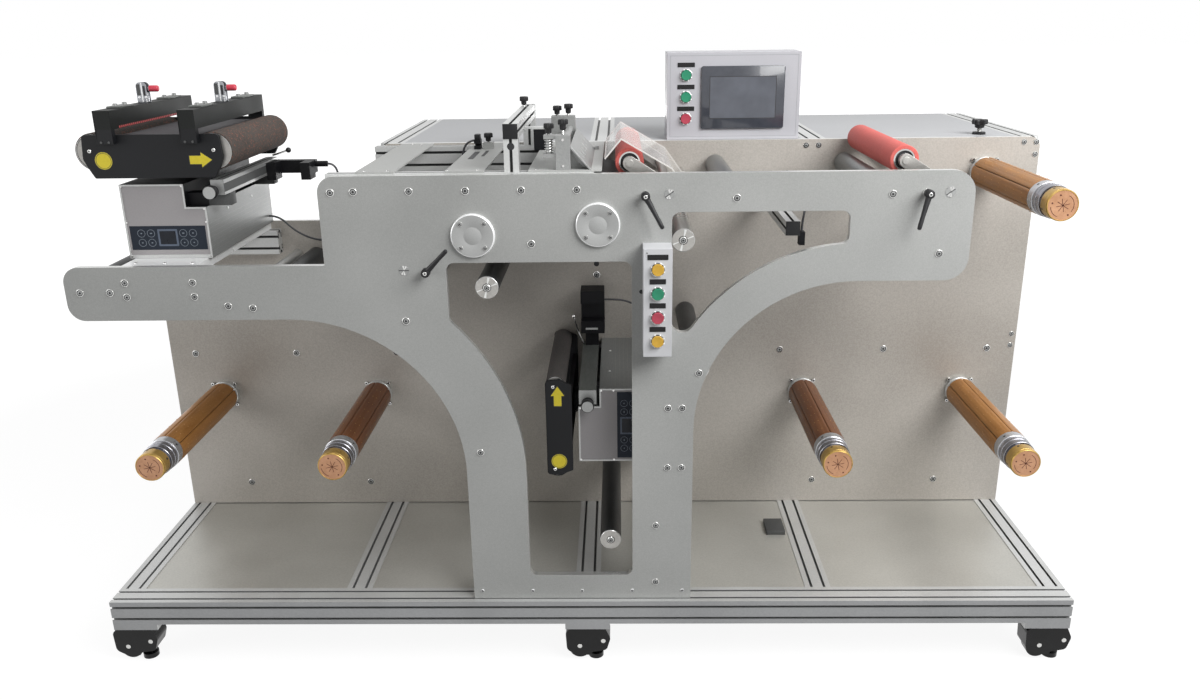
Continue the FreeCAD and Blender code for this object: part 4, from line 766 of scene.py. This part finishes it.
def panels():
    paint("control_housing", PAINT_GREY,
          (STEEL, lambda p, n: p.y < HMI_FRONT - 0.1 and abs(p.x - HMI_X) < 15))
    paint("button_box", PAINT, (STEEL, lambda p, n: p.y < BUTTON_FRONT - 0.1))
    soften(0.8, "control_housing", "button_box")
    face = Piece("panel_trim")
    seam(face, PAINT_LINE, 1.0, 208, 520, HMI_FRONT - 0.25, HMI_FRONT + 0.2, TABLE_TOP + 7,
         TABLE_TOP + 201)
    for x, z in HMI_BUTTONS:
        bezel_ring(face, x, z, HMI_FRONT)
        label(face, x, z + 24, HMI_FRONT, 21)
    for x, z in COLUMN_BUTTONS:
        bezel_ring(face, x, z, BUTTON_FRONT)
        label(face, x, z + 25, BUTTON_FRONT, 21 if z > 980 else 16.5)
    screw_head(face, 136, 1015.5, BUTTON_FRONT, 1.8, 0.8)
    face.done()
    rows = (("panel", HMI_BUTTONS, HMI_FRONT, (CAP_RED, CAP_GREEN, CAP_GREEN)),
            ("column", COLUMN_BUTTONS, BUTTON_FRONT, (CAP_YELLOW, CAP_GREEN, CAP_RED, CAP_YELLOW)))
    for row, places, front, colours in rows:
        for i, ((x, z), colour) in enumerate(zip(places, colours)):
            push_button("%s_button_%d" % (row, i + 1), x, z, front, colour)
    touch_screen()


def touch_screen():
    piece = Piece("touch_screen_dressed")
    x0, x1, z0, z1 = 284.0, 488.0, TABLE_TOP + 26, TABLE_TOP + 176
    glass = HMI_FRONT - 6
    piece.prism(SLATE, rounded(x0, x1, z0, z1, 5), glass, HMI_FRONT, bevel=1.2)
    piece.box(SCREEN, x0 + 22, x1 - 22, glass - 0.15, glass + 0.5, z0 + 26, z1 - 26)
    seam(piece, SOCKET, 1.5, x0 + 20.5, x1 - 20.5, glass - 0.1, glass + 0.4, z0 + 24.5, z1 - 24.5)
    piece.box(BLACK, x0 + 8, x1 - 8, HMI_FRONT + 0.1, HMI_FRONT + 36, z0 + 8, z1 - 8, 2)
    piece.done(replaces=["touch_screen"])


# Web guides

def guide_face(name, place):
    """The rim, face, keypad and screws at the front of a web guide's box."""
    piece = Piece(name, place)
    rim = [(-90, 0.5), (90, 0.5), (90, 111), (47, 111), (47, 160), (-90, 160)]
    inner = [(-86.5, 8), (86.5, 8), (86.5, 107.5), (43.5, 107.5), (43.5, 156.5), (-86.5, 156.5)]
    for i in range(6):
        j = (i + 1) % 6
        piece.prism(GUIDE_RIM, [rim[i], rim[j], inner[j], inner[i]], -1.6, 0.2)
    piece.prism(GUIDE_FACE, inner, -0.4, 0.2)
    piece.prism(KEYPAD, rounded(-82, 82, 19, 71, 0.6, 2), -0.9, 0.1)
    piece.prism(LCD_FRAME, rounded(-22.5, 20.5, 27, 64, 1.5, 3), -1.3, -0.5)
    piece.prism(LCD, rounded(-18.5, 16.5, 31, 60, 1.0, 3), -1.5, -0.5)
    for u in (-58, -37, 33, 54):
        for w in (55, 34.5):
            piece.lathe([(KEY_LINE, [(8.4, -0.8), (8.4, -1.25), (7.6, -1.25), (7.6, -0.8)])], u, w, steps=32)
            mark = 1.6 if (u + w) % 2 else 2.4
            piece.prism(KEY_LINE, rounded(u - mark, u + mark, w - 1.2, w + 1.2, 0.8, 3), -1.15, -0.8)
    for u, w in ((43, 156), (-86, 156), (86, 107), (86, 79), (-86, 79), (-86, 4.5), (86, 4.5)):
        piece.lathe([(STEEL, [(2.6, -0.3), (2.2, -2.0), (0, -2.4)])], u, w, steps=16)
    piece.done()


def guide_frame_trim(name, place, half, screw_w, spot, arrow, mid):
    """Plain stickers and screws on a web guide's front side plate."""
    piece = Piece(name + "_guide_trim", place)
    y = -19.0
    ring = [(18.8, y), (18.8, y - 0.3), (17.9, y - 0.3)]
    line = [(16.3, y - 0.34), (16.3, y - 0.42), (15.4, y - 0.42), (15.4, y - 0.34)]
    piece.lathe([(STICKER_EDGE, ring), (YELLOW, [(17.9, y - 0.3), (0, y - 0.35)]), (STICKER_EDGE, line)],
                spot, mid)
    tail, base, tip = arrow
    outline = [(tail, mid - 9.5), (base, mid - 9.5), (base, mid - 17), (tip, mid), (base, mid + 17),
               (base, mid + 9.5), (tail, mid + 9.5)]
    piece.prism(STICKER_EDGE, outline, y - 0.25, y)
    middle = (tail + tip) / 2
    inner = [(middle + (u - middle) * 0.93, mid + (w - mid) * 0.9) for u, w in outline]
    piece.prism(YELLOW, inner, y - 0.35, y)
    for u in (-half + 17, half - 17):
        rod(piece, STEEL, u, screw_w, 4, y - 2, y, 0.8, 20)
        # Dark hex sockets in the screws: painted shade.
        piece.lathe([(SOCKET, [(1.8, y - 2.02), (0, y - 2.02)])], u, screw_w, steps=6)
    piece.done(body=name + "_guide_frame")


def guide_rollers():
    for name, place, skin, reach, w, r, back in (("infeed", infeed, CORK, 127, 230, 39, 370),
                                                 ("centre", centre, CORK_DARK, 102, 211, 23, 360)):
        y0, y1 = -8.7, back - 10.3
        sleeve = [(r - 2.4, y0), (r - 0.8, y0 + 0.5), (r, y0 + 1.6), (r, y1 - 1.6), (r - 0.8, y1 - 0.5),
                  (r - 2.4, y1)]
        for u, end in ((-reach, "in"), (reach, "out")):
            node = "%s_guide_roller_%s" % (name, end)
            piece = Piece(node + "_dressed", place)
            piece.lathe([(skin, sleeve)], u, w, steps=72)
            for y, s in ((y0, 1), (y1, -1)):
                rim = [(r - 2.4, y), (r - 3.2, y), (r - 4.0, y + s * 1.5)]
                face = [(r - 4.0, y + s * 1.5), (13, y + s * 1.5), (12.6, y + s * 0.4), (7.05, y + s * 0.4)]
                piece.lathe([(TURNED, rim), (END_FACE, face)], u, w, steps=64)
            piece.lathe([(STEEL, [(7.05, y0 + 0.4), (7.05, y1 - 0.4)])], u, w)
            piece.done(body=node, replaces=[node])


def guides():
    paint("guide_boxes", GUIDE_GREY, (ANODISED_BLACK, lambda p, n: p.x < LEFT_BAY and n.z > 0.5),
          (ANODISED_BLACK, lambda p, n: p.x > LEFT_BAY and n.x < -0.5),
          (ANODISED_BLACK, lambda p, n: p.x < LEFT_BAY and n.x > 0.5 and p.z > ARM_TOP + 111))
    soften(0.6, "guide_boxes")
    for name, place, length in (("infeed", infeed, 398), ("centre", centre, 376)):
        sides = Piece(name + "_box_side", place)
        for w in range(14, 75, 10):
            sides.box(GREY_METAL, 89.8, 90.15, 3, length, w, w + 0.7)
        for y in (118, 270):
            sides.lathe([(BRIGHT, [(2.8, 89.8), (2.6, 91.2), (0, 91.6)])], y, 88, axis="x", steps=16)
        sides.done()
    guide_face("infeed_guide_face", infeed)
    guide_face("centre_guide_face", centre)
    paint("infeed_guide_frame", ANODISED_BLACK, (ZINC, lambda p, n: p.z > ARM_TOP + 317),
          (BEAM_BLACK, lambda p, n: p.z > ARM_TOP + 268),
          (TABLE_DARK, lambda p, n: n.z > 0.5 and abs(p.z - ARM_TOP - 260) < 1))
    paint("centre_guide_frame", ANODISED_BLACK)
    soften(0.8, "infeed_guide_frame", "centre_guide_frame")
    guide_frame_trim("infeed", infeed, 147, 233, -103.5, (76, 102, 126), 213)
    guide_frame_trim("centre", centre, 119, 216, -82, (54, 80.5, 105), 206)
    guide_rollers()


# Small parts on the deck

def star_knob(piece, x, y, z, screw, neck, r=11.0, tall=11.0):
    """A knob with five lobes on its threaded screw."""
    low, top = z + screw, z + screw + neck
    end = top + tall
    head = [(0, top + 0.2), (r * 0.6, top), (r * 0.96, top + 0.6), (r, top + 2), (r, end - 2),
            (r * 0.94, end - 0.6), (r * 0.8, end), (r * 0.34, end), (r * 0.3, end - 0.8), (0, end - 0.8)]
    piece.lathe([(BLACK, head)], x, y, axis="z", steps=60, lobe=lambda turn: 0.87 + 0.13 * cos(5 * turn))
    piece.lathe([(BLACK, [(r * 0.5, low), (r * 0.55, low + 0.5), (r * 0.62, top + 1)]),
                 (BLACK, [(0, low), (r * 0.5, low)])], x, y, axis="z", steps=32)
    turns = max(2, screw)
    thread = [(r * (0.3 if i % 2 else 0.26), z + screw * i / turns) for i in range(turns + 1)]
    piece.lathe([(STEEL, thread)], x, y, axis="z", steps=24)


def fittings():
    piece = Piece("star_knobs")
    beam_top = TABLE_TOP + 93
    for x, y, z, screw, neck in ((-144, 430, beam_top, 4, 8), (-32, 44, 1241, 10, 10), (-61, 44, 1241, 3, 9),
                                 (-61, 355, 1250, 3, 8), (-35, 355, 1250, 5, 10),
                                 (-228, 392, TABLE_TOP + 14, 3, 8)):
        star_knob(piece, x, y, z, screw, neck)
    foot = TABLE_TOP + 6
    base = [(0, foot), (15, foot), (16, foot - 1), (16, TABLE_TOP)]
    piece.lathe([(BLACK, base)], 989, 566, axis="z", steps=40)
    star_knob(piece, 989, 566, foot, 10, 8, 20, 13)
    piece.box(BLACK, 429, 459, 57, 60, 1026, 1056, 0.8)
    piece.box(BLACK, -152, -122, 26, 29, beam_top - 30, beam_top, 0.8)
    piece.box(CREVICE_SHADE, 460, 508, 312, 380, 178, 190, 1.0)
    piece.done(replaces=["black_fittings"])
    extra = Piece("slitter_details")
    coil = [(*polar(-61, 44, 8.4, 2 * pi * i / 16), 1205.2 + 26.6 * i / 80) for i in range(81)]
    wire(extra, coil, 1.1)
    for y, z in ((44, 1180), (44, 1232)):
        extra.lathe([(STEEL, [(3, y - 15.2), (2.6, y - 16.4), (0, y - 16.4)])], -32, z, steps=16)
    extra.done()


def sensors():
    rail = lambda p: -781 < p.x < -751 and 84 < p.y < 446 and ARM_TOP + 137 < p.z < ARM_TOP + 171
    arm = lambda p: -123 < p.x < -75 and 157 < p.y < 173 and 1240 < p.z < 1246
    # The sensor rail is silver on top and mid grey at its front end; its other faces take the crevice grey
    # as painted shadow under the rail.
    paint("edge_sensors", DEEP, (GREY_METAL, lambda p, n: rail(p) and n.y < -0.5),
          (TURNED, lambda p, n: rail(p) and n.z > 0.5), (TURNED, lambda p, n: arm(p)),
          (CREVICE_SHADE, lambda p, n: rail(p)),
          (PLATE, lambda p, n: -241 < p.x < -215 and 379 < p.y < 405 and p.z > TABLE_TOP),
          (GREY_METAL, lambda p, n: p.y < 116 and -30 < p.x < 27 and n.y < -0.5),
          (RAIL_GREY, lambda p, n: 114 < p.y < 476 and -15 < p.x < 27 and 625 < p.z < 661))
    soften(0.8, "edge_sensors")
    piece = Piece("sensor_details")
    for z0, z1 in ((1143, 1151), (1119, 1125)):
        piece.box(TURNED, -752.1, -751.6, 86, 444, z0, z1)
    piece.box(SOCKET, -768, -764, 86, 444, 1150.9, 1151.2)
    piece.box(BLACK, -259, -246, 376, 398, 1193.5, 1206, 1)
    for x, z, y in ((-776, 1127, 63), (6, 629, 91)):
        cap = [(14, y + 12), (15, y + 10), (15, y + 2), (14.2, y), (13, y - 0.6)]
        piece.lathe([(BLACK, cap), (COVER, [(13, y - 0.6), (0, y - 0.6)])], x, z)
    # Crevice grey covers on the rail's brackets: painted shadow under the rail.
    for y in (115, 395):
        piece.box(CREVICE_SHADE, -800.4, -751.7, y - 0.3, y + 30.3, 1091.7, 1119.2, 0.8)
    wire(piece, ((-750, 400, 1160), (-735, 404, 1164), (-716, 408, 1170)), 2.2)
    ball(piece, BLACK, -713, 408.6, 1171, 6.5)
    wire(piece, ((-14, 440, 668), (-28, 436, 706), (-36, 434, 736)), 2.2)
    ball(piece, STEEL, -37, 433.6, 741, 5)
    piece.box(TURNED, -6, 25, 422.6, 423.4, 708, 713)
    piece.done()


def toggles():
    reach = 87
    for end, u in (("in", -reach), ("out", reach)):
        paint("clamp_toggle_" + end, ZINC, (GRIP, lambda p, n: p.x > INFEED_X + u + 16.1))
    piece = Piece("clamp_details", infeed)
    for u in (-reach, reach):
        piece.box(ZINC, u - 11, u + 11, 165.5, 178.5, 316, 338, 1.5)
        # Each toggle's front: a dark band and a dark strip as painted shade of its gaps, bright strips as
        # painted highlights on its edges.
        for u0, u1, w0, w1, material in ((-10, -2, 332, 356, CREVICE_SHADE), (0, 2.5, 318, 359, BRIGHT),
                                         (4, 9, 331, 352, SOCKET), (8.5, 10.5, 317, 324, BRIGHT)):
            piece.box(material, u + u0, u + u1, 162.7, 163.2, w0, w1)
        for du in (-6, 9.5):
            piece.lathe([(BRIGHT, [(2.6, 163), (2.4, 162), (0, 161.6)])], u + du, 328, steps=16)
        for y0, y1 in ((22, 88), (262, 340)):
            piece.box(RAIL_GREY, u - 14, u + 14, y0, y1, 316, 320, 1)
            for y in (y0 + 12, y1 - 12):
                piece.lathe([(GREY_METAL, [(5, 320), (5, 324), (4.2, 325)]),
                             (SOCKET, [(4.2, 325), (0, 324.4)])], u, y, axis="z", steps=20)
        # Dark discs at two holes: painted shade.
        for du in (-8, 8):
            piece.lathe([(CREVICE_SHADE, [(2.6, -33), (2.4, -34.2), (0, -34.4)])], u + du, 252, steps=16)
    for y in range(2, 348, 9):
        piece.box(STRIPE, -69.6, -69.1, y, y + 5, 278.3, 282.5)
    piece.done(body="infeed_guide_frame")


def casters():
    for side, front in (("front", 26.0), ("rear", 1032.0)):
        for end in ("left", "middle", "right"):
            node = "caster_%s_%s" % (side, end)
            paint(node, GLOSS_BLACK, (STEEL, lambda p, n: p.y < front - 0.05))
            soften(1.5, node, angle=50)


# Leads, along the routes of the part's source, two of them a little smoother

def leads():
    routes = {
        "fork_lead": [(-621, 406, 1138), (-605, 406, 1138), (-597, 412, 1108), (-601, 426, 1058),
                      (-613, 432, 1014), (-615, 440, 976), (-601, 473, 960), (-601, 491, 960)],
        "box_lead": [(-800, 470, 1000), (-776, 470, 1000), (-742, 470, 964), (-704, 467, 944),
                     (-672, 464, 938), (-637, 463, 936), (-636, 491, 936)],
        "upright_lead": [(42, 430, 786), (62, 430, 786), (90, 434, 783), (116, 446, 770),
                         (144, 464, 749), (146, 491, 746)],
        "bridge_lead": [(-252, 402, 1186), (-252, 414, 1186), (-268, 430, 1188), (-292, 440, 1176),
                        (-302, 448, 1140), (-304, 456, 1098), (-308, 469, 1084), (-308, 491, 1084)],
        "window_lead": [(465, 73, 1032), (465, 73, 1048), (471, 84, 1072), (481, 120, 1092),
                        (489, 190, 1100), (495, 280, 1104), (499, 380, 1100), (501, 469, 1090),
                        (501, 491, 1090)],
    }
    gland = [(2.4, 490), (4.6, 490.4), (5.2, 495), (6, 495.4), (6, BACK_Y0), (0, BACK_Y0)]
    glands = Piece("lead_glands")
    for name, route in routes.items():
        curve = bpy.data.curves.new(name, "CURVE")
        curve.dimensions = "3D"
        curve.bevel_depth = 2.5 * MM
        curve.bevel_resolution = 5
        curve.resolution_u = 12
        curve.use_fill_caps = True
        line = curve.splines.new("NURBS")
        line.points.add(len(route) - 1)
        for point, spot in zip(line.points, route):
            point.co = (*at(*spot), 1)
        line.order_u = 3
        line.use_endpoint_u = True
        curve.materials.append(CABLE)
        obj = add(name, curve)
        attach(obj, "machine")
        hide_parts("sensor_leads")
        x, _, z = route[-1]
        glands.lathe([(BLACK, gland)], x, z, steps=24)
    glands.done(replaces=["sensor_leads"])


# Camera, lamps and floor

EYE = (0.0786, -2.5275, 1.470)
YAW, PITCH, ROLL = radians(-1.16), radians(18.63), radians(0.78)
LENS = 29.85
LAMPS = (("key", (2.0, -1.9, 2.8), (0.1, 0, 0.8), (2.6, 1.8), 142),
         ("top", (-0.2, 0.6, 4.6), (-0.1, 0.1, 0.6), (3.4, 2.6), 32),
         ("fill", (-3.2, -1.3, 1.5), (-0.8, 0.3, 0.4), (1.6, 1.6), 32),
         ("back", (0.2, 3.6, 0.55), (0.0, 0.5, 0.55), (3.2, 0.8), 34))


def camera():
    """The photo's own view."""
    data = bpy.data.cameras.new("camera")
    data.sensor_width = 36.0
    data.lens = LENS
    eye = add("camera", data)
    tilt = Matrix.Rotation(radians(90) - PITCH, 4, "X")
    turn = Matrix.Rotation(-YAW, 4, "Z") @ tilt @ Matrix.Rotation(-ROLL, 4, "Z")
    eye.matrix_world = Matrix.Translation(EYE) @ turn
    SCENE.camera = eye


def seen(tree):
    """1 for rays that come from the camera, a mirror or glass, and 0 for the light on the object."""
    total = shade(tree, "LightPath", "Is Camera Ray", {})
    for name in ("Is Glossy Ray", "Is Transmission Ray"):
        total = maths(tree, "MAXIMUM", total, shade(tree, "LightPath", name, {}))
    return total


def world():
    SCENE.world = bpy.data.worlds.new("studio")
    SCENE.world.use_nodes = True
    tree = SCENE.world.node_tree
    back = tree.nodes["Background"]
    back.inputs["Color"].default_value = (1, 1, 1, 1)
    tree.links.new(ranged(tree, seen(tree), 0.2, 1.0, 0, 1), back.inputs["Strength"])


def lamps():
    for name, place, target, size, watts in LAMPS:
        data = bpy.data.lights.new(name, "AREA")
        data.shape = "RECTANGLE"
        data.size, data.size_y = size
        data.energy = watts
        obj = add(name, data)
        obj.location = place
        obj.rotation_euler = (Vector(target) - Vector(place)).to_track_quat("-Z", "Y").to_euler()


def stage():
    """A matt floor that takes the shadow and grows into plain white away from the object."""
    mesh = bpy.data.meshes.new("floor")
    mesh.from_pydata([(-40, -40, 0), (40, -40, 0), (40, 40, 0), (-40, 40, 0)], [], [(0, 1, 2, 3)])
    mat = surface("studio_floor", (185, 185, 185), 0.9, tone=2, grain=8, cloud=0.5, bump=0)
    mesh.materials.append(mat)
    tree = mat.node_tree
    link = tree.links.new
    shader = tree.nodes["Principled BSDF"]
    link(ranged(tree, seen(tree), 0.15, 0.5, 0, 1), shader.inputs["Base Color"])
    where = shade(tree, "TexCoord", "Object", {})
    away = shade(tree, "VectorMath", "Value", {0: where}, operation="LENGTH")
    share = maths(tree, "MULTIPLY", seen(tree), ranged(tree, away, 0.76, 1.0, 2.5, 5.0))
    glow = shade(tree, "Emission", 0, {"Strength": 1.2})
    both = shade(tree, "MixShader", 0, {0: share, 1: shader.outputs[0], 2: glow})
    link(both, tree.nodes["Material Output"].inputs["Surface"])
    floor = add("floor", mesh)


camera()
world()
stage()
lamps()
dress_frame()
fasteners()
shaft_roots()
for shaft, (shaft_x, shaft_z) in SHAFTS.items():
    air_shaft(shaft, shaft_x, shaft_z)
idlers()
nips()
levers()
panels()
guides()
fittings()
sensors()
toggles()
casters()
leads()
